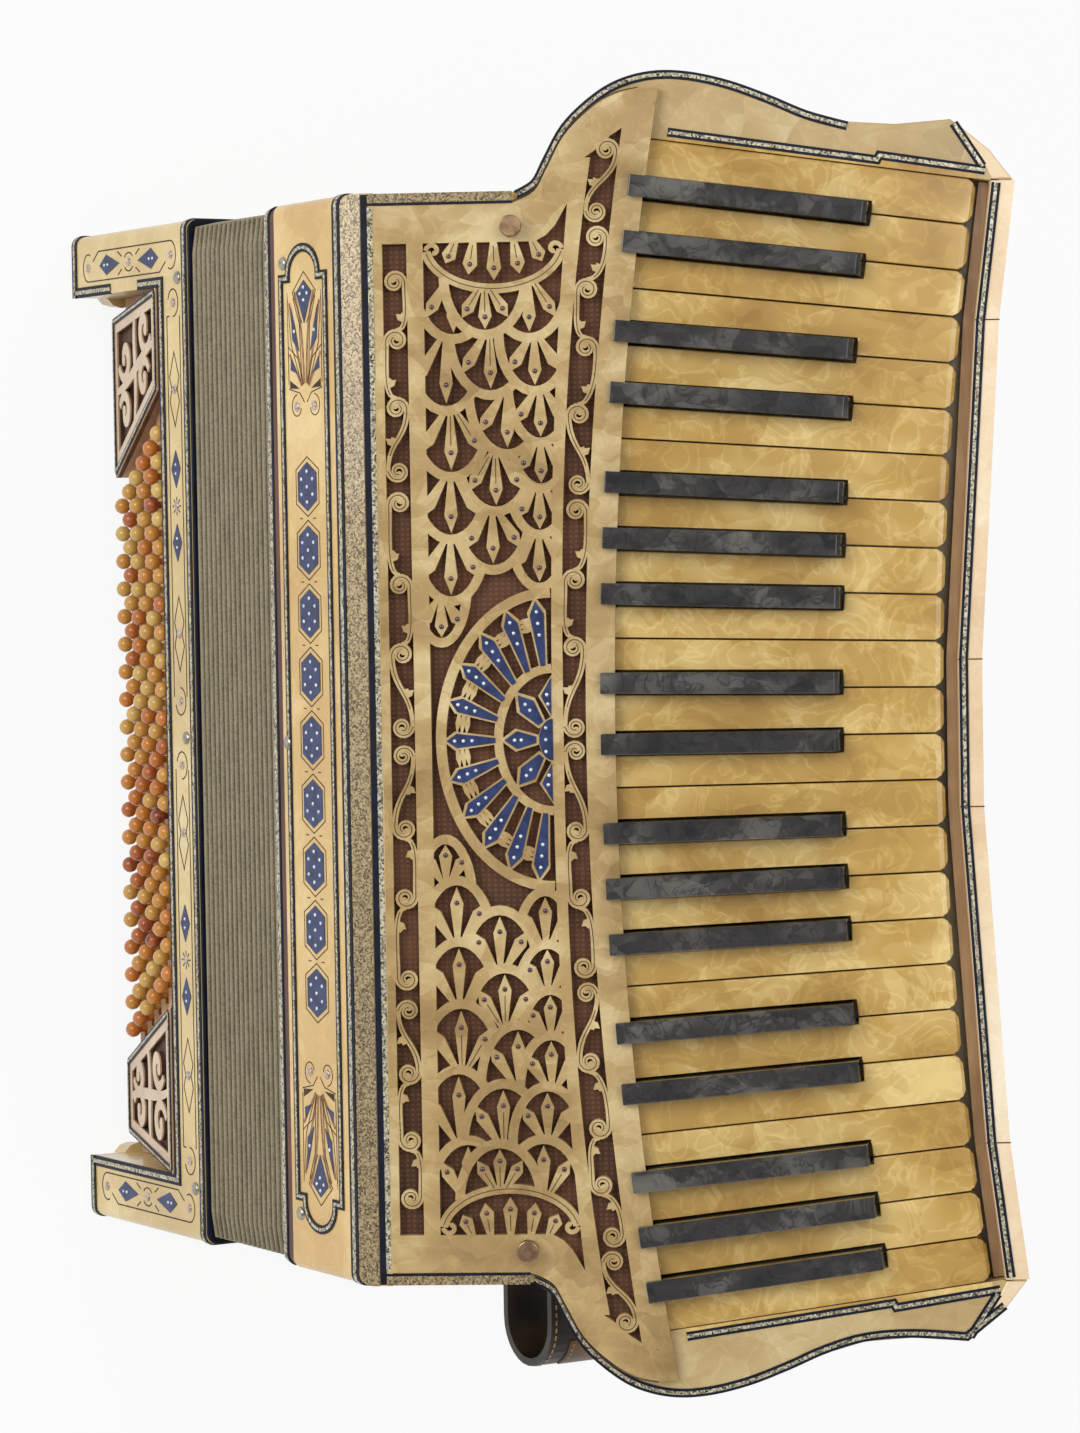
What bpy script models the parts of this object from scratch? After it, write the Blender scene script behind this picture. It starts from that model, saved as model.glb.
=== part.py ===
"""A full-size piano accordion with a curved keyboard, resting on its bass side.

Units are metres and +Z is up, along the bellows from the bass side to the treble side.
The front, which faces listeners, looks to -Y, and the player's side is +Y.
The low notes, at the player's chin, lie at +X. The floor is Z = 0.

The grille and the keyboard share one sloping plane. A place on it is given by x, by s, the
way up the slope from the front edge, and by n, the height square to the plane.
"""
import bpy
import bmesh
import numpy
from collections import Counter
from math import sin, cos, pi, radians, sqrt
from mathutils import Vector, Matrix
from mathutils.geometry import delaunay_2d_cdt

# Body
BODY_LENGTH = 0.462
BODY_DEPTH = 0.190
FOOT_HEIGHT = 0.010
FOOT_RADIUS = 0.009
FOOT_INSET = 0.024
COVER_THICKNESS = 0.006
BASS_HEIGHT = 0.117
BELLOWS_HEIGHT = 0.082
STRIP_HEIGHT = 0.059
CHAMFER_DEPTH = 0.006
CHAMFER_HEIGHT = 0.0065
WALL = 0.008
CLEARANCE = 0.0003

# Sloping plane of the grille and keyboard
SLOPE = radians(35.0)
RIM_WIDTH = 0.0055
GRILLE_THICKNESS = 0.0045
CLOTH_THICKNESS = 0.0020
CLOTH_INSET = 0.0030
CLOTH_LIP_INSET = 0.0074
CHAMBER_DEPTH = 0.030
SOUNDBOARD_THICKNESS = 0.008

# Keyboard
WHITE_COUNT = 24
WHITE_PITCH = 0.0194
KEY_GAP = 0.0007
FAN_RADIUS = 1.600
LIP_S = 0.1038
WHITE_LENGTH = 0.1381
BLACK_LENGTH = 0.0951
WHITE_TOP = -0.0060
BLACK_TOP = 0.0045
KEY_BOTTOM = -0.0200
BLACK_WIDTH = 0.0090
BLACK_NOTCH_GAP = 0.0008
BLACK_OFFSET = 0.11
BLACK_OVERHANG = 0.0060
KEY_DIP = radians(1.8)
ROD_S = 0.0960
ROD_N = -0.0140
ROD_RADIUS = 0.0022
ROD_INSERT = 0.008
KEY_TAIL = 0.0057
TAIL_TOP = -0.0092
FRONT_ROUND = 0.0035

# Key bed, end boards and outer rail
BED_THICKNESS = 0.032
BED_FLOOR = -0.0256
BED_FRONT_S = 0.0880
END_BOARD_TOP = -0.0050
KEY_SIDE_CLEARANCE = 0.0008
RAIL_GAP = 0.0060
RAIL_WIDTH = 0.0100
RAIL_TOP = -0.0040
RAIL_KINKS = (0.031, 0.173)
WING_START_S = 0.0655
WING_FLARE = (
    (0.0735, 0.0050), (0.0790, 0.0150), (0.0865, 0.0280), (0.0975, 0.0385), (0.1090, 0.0455), (0.1230, 0.0490),
    (0.1380, 0.0485), (0.1550, 0.0445), (0.1720, 0.0380), (0.1880, 0.0310), (0.2050, 0.0260), (0.2250, 0.0245),
    (0.2480, 0.0260), (0.2640, 0.0130))

# Grille
GRILLE_INSET = 0.0055
FIELD_INSET = 0.0160
CHEEK_S = 0.0640
LIP_REACH = 0.0170
LIP_CORNER = 0.0020
FRAME_FRONT = 0.0032
INNER_BAR_S = (0.0192, 0.0262)
OUTER_BAR_S = (0.0773, 0.0820)
OUTER_BAR_BOW = (0.0083, 0.0101)
OUTER_BAR_TAIL = 0.0345
BORDER_S = 0.0915
BORDER_BOW = 0.0129
CHEEK_FLARE = ((0.0000, 0.0735), (0.0024, 0.0780), (0.0065, 0.0820), (0.0151, 0.0870), (0.0248, 0.0925),
               (0.0305, 0.0957), (0.0373, 0.0990), (0.0435, 0.1060))

# Sunburst
SUN_RADIUS_S = 0.0493
SUN_RADIUS_X = 0.0642
SUN_BAND = 0.0044
SUN_PETALS = 11
SUN_PETAL_WIDTH = 0.0080
HUB_RADIUS_X = 0.0300
HUB_RADIUS_S = 0.0228
HUB_BAND = 0.0040
HUB_CORE = 0.0098
HUB_PETALS = 5
HUB_PETAL_WIDTH = 0.0090

# Fish-scale arches: distance of each crown from the middle, its s and half its width
ARCHES = (
    (0.1707, 0.0519, 0.0172), (0.1691, 0.0385, 0.0165), (0.1690, 0.0705, 0.0165), (0.1467, 0.0725, 0.0150),
    (0.1453, 0.0538, 0.0172), (0.1390, 0.0350, 0.0170), (0.1250, 0.0745, 0.0135), (0.1204, 0.0605, 0.0160),
    (0.1112, 0.0366, 0.0170), (0.1058, 0.0744, 0.0130), (0.0964, 0.0553, 0.0160), (0.0863, 0.0735, 0.0130),
    (0.0849, 0.0361, 0.0160), (0.0718, 0.0536, 0.0160), (0.0589, 0.0356, 0.0150), (0.0640, 0.0730, 0.0120),
    (0.0415, 0.0312, 0.0110))
ARCH_DEPTH = 0.0240
ARCH_BAND = 0.0041
ARCH_NEAR = 0.0100
PETAL_WIDTH = 0.0056
PETAL_SINK = 0.0010
CRESCENT_S = 0.0560
CRESCENT_DEPTH = 0.0190
CRESCENT_HALF = 0.0290
END_PETALS = ((-0.0185, 0.0085), (-0.0098, 0.0135), (0.0000, 0.0160), (0.0098, 0.0135), (0.0185, 0.0085))

# Running scrolls: where each bend curls, along x from the middle, and which way the first one turns
INNER_SCROLLS = (((0.0062, 0.0368, 0.0660, 0.1005), 1), ((0.1140, 0.1405, 0.1690, 0.1935), -1))
OUTER_SCROLLS = (((0.0052, 0.0385, 0.0669, 0.0962), -1), ((0.1075, 0.1364, 0.1645, 0.1887, 0.2105), 1),
                 ((0.2215, 0.2470), -1))
VINE_WIDTH = 0.0021
CURL_RADIUS = 0.0043
CURL_CORE = 0.0016
CURL_CLEAR = 0.0007
BRIDGE = 0.0006
STRAIGHT = 0.00005

# Bass side
ARM_WIDTH = 0.0285
BODY_ROUND = 0.0045
BASS_STRIP = 0.028
BUTTON_ROWS = 6
BUTTONS_PER_ROW = 20
BUTTON_PITCH = 0.0130
BUTTON_SHIFT = 0.0064
BUTTON_CENTRE = 0.0032
BUTTON_RADIUS = 0.0034
BUTTON_THICKNESS = 0.0060
BUTTON_TRAVEL = 0.0040
STEP_HEIGHT = 0.0135
STEP_DEPTH = 0.0030
BOARD_FRONT = 0.0085
BOARD_THICKNESS = 0.0050
SLOT_HEIGHT = 0.0044
RIB_HEIGHT = 0.0036
RIB_TAIL = 0.0065
MECHANISM_DEPTH = 0.046
CHEEK_TOP_GAP = 0.0102
CHEEK_RISE = 0.0050
CHEEK_SINK = 0.0030
CHEEK_SLANT = 0.0100
CHEEK_REACH_HIGH = (0.0462, 0.0844)
CHEEK_REACH_LOW = (0.0764, 0.0446)

# Bellows
FOLDS = 17
FOLD_DEPTH = 0.0075
BELLOWS_INSET = 0.0012
BELLOWS_WALL = 0.0030
BELLOWS_FRAME = 0.0040
BELLOWS_CORNER = 0.0140

# Straps and air button
STRAP_WIDTH = 0.062
STRAP_THICKNESS = 0.003
STRAP_HALF = 0.185
STRAP_Y = 0.105
LOOP_WIDTH = 0.042
LOOP_REACH = 0.046
LOOP_HEIGHT = 0.040
LOOP_THICKNESS = 0.0034
LOOP_Y = 0.112
LOOP_Z = 0.046
AIR_RADIUS = 0.008
AIR_TRAVEL = 0.004
AIR_X = 0.150
AIR_Y = 0.060
AIR_REACH = 0.006

# Derived heights and places
BASS_BASE = FOOT_HEIGHT + COVER_THICKNESS
BASS_TOP = FOOT_HEIGHT + BASS_HEIGHT
TREBLE_BASE = BASS_TOP + BELLOWS_HEIGHT
PLANE_Y = CHAMFER_DEPTH
PLANE_Z = TREBLE_BASE + STRIP_HEIGHT + CHAMFER_HEIGHT
HALF = BODY_LENGTH / 2
GRILLE_HALF = HALF - GRILLE_INSET
FIELD_HALF = GRILLE_HALF - FIELD_INSET
RAIL_JOINTS = (-HALF, -RAIL_KINKS[1], -RAIL_KINKS[0], RAIL_KINKS[0], RAIL_KINKS[1], HALF)
WHITE_END_S = LIP_S + WHITE_LENGTH
BLACK_END_S = LIP_S + BLACK_LENGTH
FAN_CENTRE_S = WHITE_END_S + FAN_RADIUS
KEY_ANGLE = WHITE_PITCH / FAN_RADIUS
RAIL_S = WHITE_END_S + RAIL_GAP
SEAT_N = -(GRILLE_THICKNESS + CLOTH_THICKNESS + 2 * CLEARANCE)
SUN_S = OUTER_BAR_S[0]
KEY_HALF_ANGLE = WHITE_COUNT / 2 * KEY_ANGLE
WING_END_S = RAIL_S + RAIL_WIDTH + HALF ** 2 / (2 * FAN_RADIUS) - 0.001
WING_OUTLINE = ((WING_START_S, HALF + CLEARANCE),) + tuple((s, HALF + flare) for s, flare in WING_FLARE)
DEPTH_REACH = PLANE_Y + (WING_END_S + 0.001) * cos(SLOPE) + BED_THICKNESS * sin(SLOPE)
BUTTON_REACH = BUTTON_THICKNESS + BUTTON_TRAVEL + 0.0006 - BOARD_FRONT
FRONT_Y = (BUTTON_REACH - DEPTH_REACH) / 2

COLOURS = {
    "cream_pearl": ((0.80, 0.66, 0.42), 0.25, 0.0),
    "ivory_pearl": ((0.66, 0.60, 0.42), 0.30, 0.0),
    "white_key": ((0.80, 0.62, 0.32), 0.20, 0.0),
    "black_key": ((0.06, 0.06, 0.065), 0.20, 0.0),
    "brown_cloth": ((0.14, 0.07, 0.045), 0.85, 0.0),
    "bellows_cloth": ((0.22, 0.20, 0.14), 0.60, 0.0),
    "wood": ((0.45, 0.32, 0.17), 0.60, 0.0),
    "steel": ((0.60, 0.60, 0.62), 0.30, 1.0),
    "amber": ((0.75, 0.35, 0.10), 0.25, 0.0),
    "black_leather": ((0.03, 0.028, 0.026), 0.50, 0.0),
}


def world(x, s, n):
    """A place on the sloping plane, in world coordinates."""
    return Vector((x, FRONT_Y + PLANE_Y + s * cos(SLOPE) - n * sin(SLOPE),
                   PLANE_Z + s * sin(SLOPE) + n * cos(SLOPE)))


def upright(x, depth, z):
    """A place given by its depth behind the front face."""
    return Vector((x, FRONT_Y + depth, z))


def fan(angle, s_mid, across=0.0):
    """x and s of a point on a radial line of the key fan, at the arc through s_mid."""
    radius = FAN_CENTRE_S - s_mid
    x = radius * sin(angle) + across * cos(angle)
    s = FAN_CENTRE_S - radius * cos(angle) + across * sin(angle)
    return x, s


def material(name):
    found = bpy.data.materials.get(name)
    if found:
        return found
    colour, rough, metal = COLOURS[name]
    mat = bpy.data.materials.new(name)
    mat.use_nodes = True
    shader = mat.node_tree.nodes["Principled BSDF"]
    shader.inputs["Base Color"].default_value = (*colour, 1.0)
    shader.inputs["Roughness"].default_value = rough
    shader.inputs["Metallic"].default_value = metal
    return mat


def make_object(name, bm, finish, origin=None):
    """Turn a bmesh into a named object whose origin may lie on its joint's axis."""
    bmesh.ops.recalc_face_normals(bm, faces=bm.faces)
    if origin is not None:
        bmesh.ops.translate(bm, verts=bm.verts, vec=-origin)
    mesh = bpy.data.meshes.new(name)
    bm.to_mesh(mesh)
    bm.free()
    mesh.materials.append(material(finish))
    obj = bpy.data.objects.new(name, mesh)
    if origin is not None:
        obj.location = origin
    bpy.context.collection.objects.link(obj)
    return obj


def prism(bm, outline, low, high, place):
    """Extrude a flat outline of (a, b) pairs from low to high, with place(a, b, c)."""
    lower = [bm.verts.new(place(a, b, low)) for a, b in outline]
    upper = [bm.verts.new(place(a, b, high)) for a, b in outline]
    count = len(outline)
    bm.faces.new(lower)
    bm.faces.new(list(reversed(upper)))
    for i in range(count):
        j = (i + 1) % count
        bm.faces.new((lower[i], upper[i], upper[j], lower[j]))


def loft(bm, rings):
    """Join rings of equal length and close both ends."""
    loops = [[bm.verts.new(point) for point in ring] for ring in rings]
    bm.faces.new(loops[0])
    bm.faces.new(list(reversed(loops[-1])))
    for first, second in zip(loops, loops[1:]):
        for i in range(len(first)):
            j = (i + 1) % len(first)
            bm.faces.new((first[i], second[i], second[j], first[j]))


def block(bm, low, high):
    """A box between two corners given as x, depth and z."""
    outline = [(low[0], low[1]), (high[0], low[1]), (high[0], high[1]), (low[0], high[1])]
    prism(bm, outline, low[2], high[2], upright)


def cutter(name, bm):
    obj = make_object(name, bm, "wood")
    obj.hide_render = True
    obj.display_type = "WIRE"
    return obj


def combine(obj, other, operation):
    """Leave a live Boolean on obj that takes away or adds another object."""
    boolean = obj.modifiers.new(operation.title(), "BOOLEAN")
    boolean.operation = operation
    boolean.solver = "EXACT"
    boolean.object = other


def inside(x, y, outline):
    """Whether a point lies inside a closed outline."""
    crossings = False
    for (ax, ay), (bx, by) in zip(outline, outline[1:] + outline[:1]):
        if (ay > y) != (by > y) and x < ax + (y - ay) * (bx - ax) / (by - ay):
            crossings = not crossings
    return crossings


class Shape:
    """A closed outline on the grille's plane that tells which points lie inside it."""

    def __init__(self, outline):
        self.outline = outline
        self.low = [min(point[k] for point in outline) for k in (0, 1)]
        self.high = [max(point[k] for point in outline) for k in (0, 1)]

    def holds(self, x, s):
        return (self.low[0] < x < self.high[0] and self.low[1] < s < self.high[1]
                and inside(x, s, self.outline))


def triangles_between(points, edges, faces):
    """Cut the plane along edges and faces into triangles, with the middle of each."""
    flat, _, triangles, _, _, _ = delaunay_2d_cdt(points, edges, faces, 0, 1e-5, True)
    middles = [(sum(flat[i].x for i in tri) / 3, sum(flat[i].y for i in tri) / 3) for tri in triangles]
    return flat, triangles, middles


def rim_edges(triangles):
    edges = {(tri[k], tri[(k + 1) % 3]) for tri in triangles for k in range(3)}
    return [(a, b) for a, b in edges if (b, a) not in edges]


def straightened(flat, rim):
    """The rim's edges, without the points that lie on a straight run."""
    after, before = dict(rim), {b: a for a, b in rim}
    for point in sorted(after):
        first, last = before[point], after[point]
        run = flat[last] - flat[first]
        away = flat[point] - flat[first]
        if after[last] != first and run.length > 0 and abs(run.x * away.y - run.y * away.x) < STRAIGHT * run.length:
            after[first], before[last] = last, first
            del after[point], before[point]
    return list(after.items())


def between_rims(flat, rim, middles):
    """Which middles lie inside the rim, by counting the edges to one side of each."""
    starts = numpy.array([flat[a][:2] for a, _ in rim])
    ends = numpy.array([flat[b][:2] for _, b in rim])
    kept = []
    for x, s in middles:
        spans = (starts[:, 1] > s) != (ends[:, 1] > s)
        a, b = starts[spans], ends[spans]
        crossings = a[:, 0] + (s - a[:, 1]) * (b[:, 0] - a[:, 0]) / (b[:, 1] - a[:, 1])
        kept.append(int((crossings > x).sum()) % 2 == 1)
    return kept


def plate(name, outlines, solid, low, high, finish):
    """One flat plate on the sloping plane, cut along the outlines and kept where solid(x, s)."""
    points, faces = [], []
    for outline in outlines:
        faces.append(list(range(len(points), len(points) + len(outline))))
        points.extend(Vector(point) for point in outline)
    flat, triangles, middles = triangles_between(points, [], faces)
    rim = rim_edges([tri for tri, middle in zip(triangles, middles) if solid(*middle)])
    touching = [i for i, count in Counter(i for edge in rim for i in edge).items() if count > 2]
    if touching:
        bridges = [Shape(arc(flat[i], (BRIDGE, BRIDGE), 0.0, 1.6 * pi, 4)) for i in touching]
        return plate(name, outlines + [bridge.outline for bridge in bridges],
                     lambda x, s: solid(x, s) or any(bridge.holds(x, s) for bridge in bridges), low, high, finish)
    rim = straightened(flat, rim)
    places = {i: k for k, i in enumerate(sorted({i for edge in rim for i in edge}))}
    rim = [(places[a], places[b]) for a, b in rim]
    flat = [flat[i] for i in places]
    cut, triangles, middles = triangles_between(flat, rim, [])
    kept = [tri for tri, within in zip(triangles, between_rims(flat, rim, middles)) if within]
    bm = bmesh.new()
    used = sorted({i for tri in kept for i in tri})
    lower = {i: bm.verts.new(world(cut[i].x, cut[i].y, low)) for i in used}
    upper = {i: bm.verts.new(world(cut[i].x, cut[i].y, high)) for i in used}
    for tri in kept:
        bm.faces.new([upper[i] for i in tri])
        bm.faces.new([lower[i] for i in reversed(tri)])
    for a, b in rim_edges(kept):
        bm.faces.new((upper[b], upper[a], lower[a], lower[b]))
    return make_object(name, bm, finish)


def arc(centre, radii, start, end, steps):
    """Points along an ellipse on the grille's plane."""
    return [(centre[0] + radii[0] * cos(start + (end - start) * k / steps),
             centre[1] + radii[1] * sin(start + (end - start) * k / steps)) for k in range(steps + 1)]


def band(centre, radii, width, start, end, steps):
    """An elliptical band as an outline, with radii along x and s to its middle line."""
    outer = arc(centre, (radii[0] + width / 2, radii[1] + width / 2), start, end, steps)
    inner = arc(centre, (radii[0] - width / 2, radii[1] - width / 2), start, end, steps)
    return outer + list(reversed(inner))


def rectangle(x0, s0, x1, s1):
    return [(x0, s0), (x1, s0), (x1, s1), (x0, s1)]


def petal(root, tip, width, foot=0.32, shoulder=0.70):
    """A kite from root to tip whose widest place lies near its tip."""
    root, tip = Vector(root), Vector(tip)
    along = tip - root
    side = Vector((-along.y, along.x)).normalized() * width / 2
    middle = root + along * shoulder
    return [tuple(p) for p in (root - side * foot, middle - side, tip, middle + side, root + side * foot)]


def ribbon(line, width):
    """The outline of a band that follows a line."""
    left, right = [], []
    for k, (x, s) in enumerate(line):
        before, after = line[max(k - 1, 0)], line[min(k + 1, len(line) - 1)]
        along = Vector((after[0] - before[0], after[1] - before[1])).normalized()
        left.append((x - along.y * width / 2, s + along.x * width / 2))
        right.append((x + along.y * width / 2, s - along.x * width / 2))
    return right + list(reversed(left))


def mirrored(outlines):
    return [[(-x, s) for x, s in reversed(outline)] for outline in outlines]


def wing_side(inset=0.0):
    """Half of the wing's outline as (x, s) pairs, from the body to the outer rail."""
    return [(half - inset, s + inset * 0.2) for s, half in WING_OUTLINE]


def rail_line(offset):
    """Points of the segmented outer rail, offset outwards from its inner face."""
    return [(x, RAIL_S + offset + x * x / (2 * FAN_RADIUS)) for x in RAIL_JOINTS]


def bed_outline():
    right = wing_side()
    left = [(-x, s) for x, s in reversed(right)]
    end = rail_line(-CLEARANCE)
    corner = (HALF + CLEARANCE, WING_END_S)
    front = [(-HALF - CLEARANCE, BED_FRONT_S), (HALF + CLEARANCE, BED_FRONT_S)]
    inner = (HALF + CLEARANCE, end[-1][1])
    outer_end = [corner, inner] + list(reversed(end[1:-1])) + [(-inner[0], inner[1]), (-corner[0], corner[1])]
    return front + right + outer_end + left


def arc_across(s_mid, half_angle, steps):
    return [fan(-half_angle + 2 * half_angle * k / steps, s_mid) for k in range(steps + 1)]


def grille_outline(inset, lip_inset):
    """The grille's outer edge: straight at the front, flared into the wings, curved at the keys."""
    side = [(x - GRILLE_INSET - inset, s) for x, s in wing_side() if CHEEK_S < s < LIP_S + LIP_REACH][1:]
    half = GRILLE_HALF - inset
    right = [(half, RIM_WIDTH + CLEARANCE + inset), (half, CHEEK_S)] + side
    lip_angle = right[-1][0] / (FAN_CENTRE_S - LIP_S)
    lip = arc_across(LIP_S - lip_inset, lip_angle, 16)
    right = [point for point in right if point[1] < lip[-1][1] - LIP_CORNER]
    left = [(-x, s) for x, s in right]
    return right + list(reversed(lip)) + list(reversed(left))


def rounded_plan(height_low, height_high):
    """A cutter with the body's plan: a rectangle with rounded corners."""
    outline = []
    for x, y, start in ((HALF, 0.0, -pi / 2), (HALF, BODY_DEPTH, 0.0), (-HALF, BODY_DEPTH, pi / 2), (-HALF, 0.0, pi)):
        centre = (x - BODY_ROUND if x > 0 else x + BODY_ROUND, y + BODY_ROUND if y == 0 else y - BODY_ROUND)
        outline += arc(centre, (BODY_ROUND, BODY_ROUND), start, start + pi / 2, 4)
    bm = bmesh.new()
    prism(bm, outline, height_low, height_high, upright)
    return bm


def make_treble_case():
    seat = (BED_FRONT_S - CLEARANCE, SEAT_N)
    under = -BED_THICKNESS - CLEARANCE

    def at(s, n):
        place = world(0, s, n)
        return place.y - FRONT_Y, place.z
    back_s = (BODY_DEPTH - PLANE_Y + under * sin(SLOPE)) / cos(SLOPE)
    outline = [(0, TREBLE_BASE + CLEARANCE), (0, TREBLE_BASE + STRIP_HEIGHT), at(0, 0), at(RIM_WIDTH, 0),
               at(RIM_WIDTH, SEAT_N), at(*seat), at(seat[0], under), at(back_s, under),
               (BODY_DEPTH, TREBLE_BASE + CLEARANCE)]
    bm = bmesh.new()
    prism(bm, outline, -HALF, HALF, lambda a, b, x: upright(x, a, b))
    case = make_object("treble_case", bm, "cream_pearl")
    plan = rounded_plan(TREBLE_BASE - WALL, PLANE_Z + BODY_DEPTH)
    combine(case, cutter("treble_plan", plan), "INTERSECT")
    inside = HALF - WALL
    bm = bmesh.new()
    prism(bm, rectangle(-inside, RIM_WIDTH + 0.0045, inside, BED_FRONT_S + 0.02),
          -CHAMBER_DEPTH, 0.01, world)
    combine(case, cutter("pallet_chamber", bm), "DIFFERENCE")
    ceiling = -CHAMBER_DEPTH - SOUNDBOARD_THICKNESS
    low_s = (WALL - PLANE_Y + ceiling * sin(SLOPE)) / cos(SLOPE)
    high_s = (BODY_DEPTH - WALL - PLANE_Y + ceiling * sin(SLOPE)) / cos(SLOPE)
    cavity = [(WALL, TREBLE_BASE - WALL), at(low_s, ceiling), at(high_s, ceiling),
              (BODY_DEPTH - WALL, TREBLE_BASE - WALL)]
    bm = bmesh.new()
    prism(bm, cavity, -inside, inside, lambda a, b, x: upright(x, a, b))
    combine(case, cutter("reed_chamber", bm), "DIFFERENCE")
    return case


def make_key_bed(rod_bore):
    bm = bmesh.new()
    prism(bm, bed_outline(), -BED_THICKNESS, END_BOARD_TOP, world)
    bed = make_object("key_bed", bm, "cream_pearl")
    edge = KEY_HALF_ANGLE + KEY_SIDE_CLEARANCE / FAN_RADIUS
    near, far = BED_FRONT_S - 0.010, RAIL_S + 0.060
    well = arc_across(near, edge, 12) + list(reversed(arc_across(far, edge, 12)))
    bm = bmesh.new()
    prism(bm, well, BED_FLOOR, 0.03, world)
    combine(bed, cutter("key_well", bm), "DIFFERENCE")
    bm = bmesh.new()
    prism(bm, grille_outline(-CLEARANCE, -CLEARANCE), SEAT_N, 0.03, world)
    combine(bed, cutter("grille_seat", bm), "DIFFERENCE")
    combine(bed, rod_bore, "DIFFERENCE")
    return bed


def rod_mesh(radius, half_angle, sides, steps):
    """A round rod bent to the key fan's arc."""
    rings = []
    for k in range(steps + 1):
        angle = -half_angle + 2 * half_angle * k / steps
        ring = []
        for m in range(sides):
            turn = 2 * pi * (m + 0.5) / sides
            x, s = fan(angle, ROD_S + radius * cos(turn))
            ring.append(world(x, s, ROD_N + radius * sin(turn)))
        rings.append(ring)
    bm = bmesh.new()
    loft(bm, rings)
    return bm


def make_key_rod():
    reach = KEY_HALF_ANGLE + (KEY_SIDE_CLEARANCE + ROD_INSERT) / FAN_RADIUS
    bore = cutter("rod_bore", rod_mesh(ROD_RADIUS + CLEARANCE, reach + CLEARANCE / FAN_RADIUS, 8, 24))
    rod = make_object("key_rod", rod_mesh(ROD_RADIUS, reach, 8, 24), "steel")
    return rod, bore


def make_key_rail():
    bm = bmesh.new()
    inner = rail_line(0.0)
    outer = rail_line(RAIL_WIDTH)
    prism(bm, inner + list(reversed(outer)), -BED_THICKNESS, RAIL_TOP, world)
    return make_object("key_rail", bm, "cream_pearl")


def black_places():
    """Angle of each black key, and between which white keys it lies, from the low end."""
    pattern = "FGABCDE"
    lean = {"C": -1, "D": 1, "F": -1, "G": 0, "A": 1}
    places = []
    for j in range(WHITE_COUNT - 1):
        note = pattern[j % 7]
        if note in lean:
            boundary = (WHITE_COUNT / 2 - 1 - j) * KEY_ANGLE
            places.append((j, boundary - lean[note] * BLACK_OFFSET * KEY_ANGLE))
    return places


def rod_point(angle):
    x, s = fan(angle, ROD_S)
    return world(x, s, ROD_N)


def key_bore(name, angle):
    """A straight cutter along the rod, across one key."""
    def place(a, b, across):
        return world(*fan(angle, ROD_S + a, across), ROD_N + b)
    radius = ROD_RADIUS + CLEARANCE
    outline = [(radius * cos(2 * pi * (m + 0.5) / 8), radius * sin(2 * pi * (m + 0.5) / 8)) for m in range(8)]
    bm = bmesh.new()
    prism(bm, outline, -WHITE_PITCH, WHITE_PITCH, place)
    return cutter(name + "_bore", bm)


def make_white_key(index, blacks):
    middle = (WHITE_COUNT / 2 - 0.5 - index) * KEY_ANGLE
    notch = BLACK_WIDTH / 2 + BLACK_NOTCH_GAP
    sides = []
    for sign in (-1, 1):
        neighbour = index if sign < 0 else index - 1
        black = next((angle for j, angle in blacks if j == neighbour), None)
        plain = (middle + sign * KEY_ANGLE / 2, -sign * KEY_GAP / 2)
        narrow = plain if black is None else (black, -sign * notch)
        sides.append((plain, narrow))
    notch_end = BLACK_END_S + BLACK_NOTCH_GAP
    front = WHITE_END_S
    stations = [
        (ROD_S - KEY_TAIL, 1, TAIL_TOP, 0.0), (LIP_S - 0.0066, 1, TAIL_TOP, 0.0),
        (LIP_S - 0.0056, 1, WHITE_TOP, 0.0), (notch_end, 1, WHITE_TOP, 0.0),
        (notch_end + 0.0002, 0, WHITE_TOP, 0.0), (front - FRONT_ROUND, 0, WHITE_TOP, 0.0),
        (front - FRONT_ROUND * 0.4, 0, WHITE_TOP - FRONT_ROUND * 0.12, FRONT_ROUND * 0.35),
        (front, 0, WHITE_TOP - FRONT_ROUND * 0.5, FRONT_ROUND)]
    rings = []
    for s_mid, which, top, round_in in stations:
        left = fan(sides[0][which][0], s_mid, sides[0][which][1] + round_in)
        right = fan(sides[1][which][0], s_mid, sides[1][which][1] - round_in)
        rings.append([world(*left, KEY_BOTTOM), world(*right, KEY_BOTTOM), world(*right, top), world(*left, top)])
    bm = bmesh.new()
    loft(bm, rings)
    key = make_object(f"white_key_{index + 1:02d}", bm, "white_key", rod_point(middle))
    combine(key, key_bore(key.name, middle), "DIFFERENCE")
    return key


def make_black_key(number, angle):
    profile = [(ROD_S - KEY_TAIL, KEY_BOTTOM), (BLACK_END_S - 0.001, KEY_BOTTOM), (BLACK_END_S, WHITE_TOP),
               (BLACK_END_S - 0.0012, BLACK_TOP - 0.0016), (BLACK_END_S - 0.0030, BLACK_TOP),
               (LIP_S - BLACK_OVERHANG, BLACK_TOP), (LIP_S - BLACK_OVERHANG, 0.0008),
               (LIP_S + 0.0008, 0.0008), (LIP_S + 0.0008, TAIL_TOP), (ROD_S - KEY_TAIL, TAIL_TOP)]

    def place(s_mid, n, across):
        return world(*fan(angle, s_mid, across), n)
    bm = bmesh.new()
    prism(bm, profile, -BLACK_WIDTH / 2, BLACK_WIDTH / 2, place)
    key = make_object(f"black_key_{number:02d}", bm, "black_key", rod_point(angle))
    combine(key, key_bore(key.name, angle), "DIFFERENCE")
    return key


def bar_edge(x, which):
    """s of the outer bar's edge: 0 faces the field, 1 faces the keys."""
    return OUTER_BAR_S[which] + OUTER_BAR_BOW[which] * (abs(x) / FIELD_HALF) ** 2.4


def border_edge(x):
    """s of the edge of the border along the keys."""
    return BORDER_S + BORDER_BOW * (x / FIELD_HALF) ** 2


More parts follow.
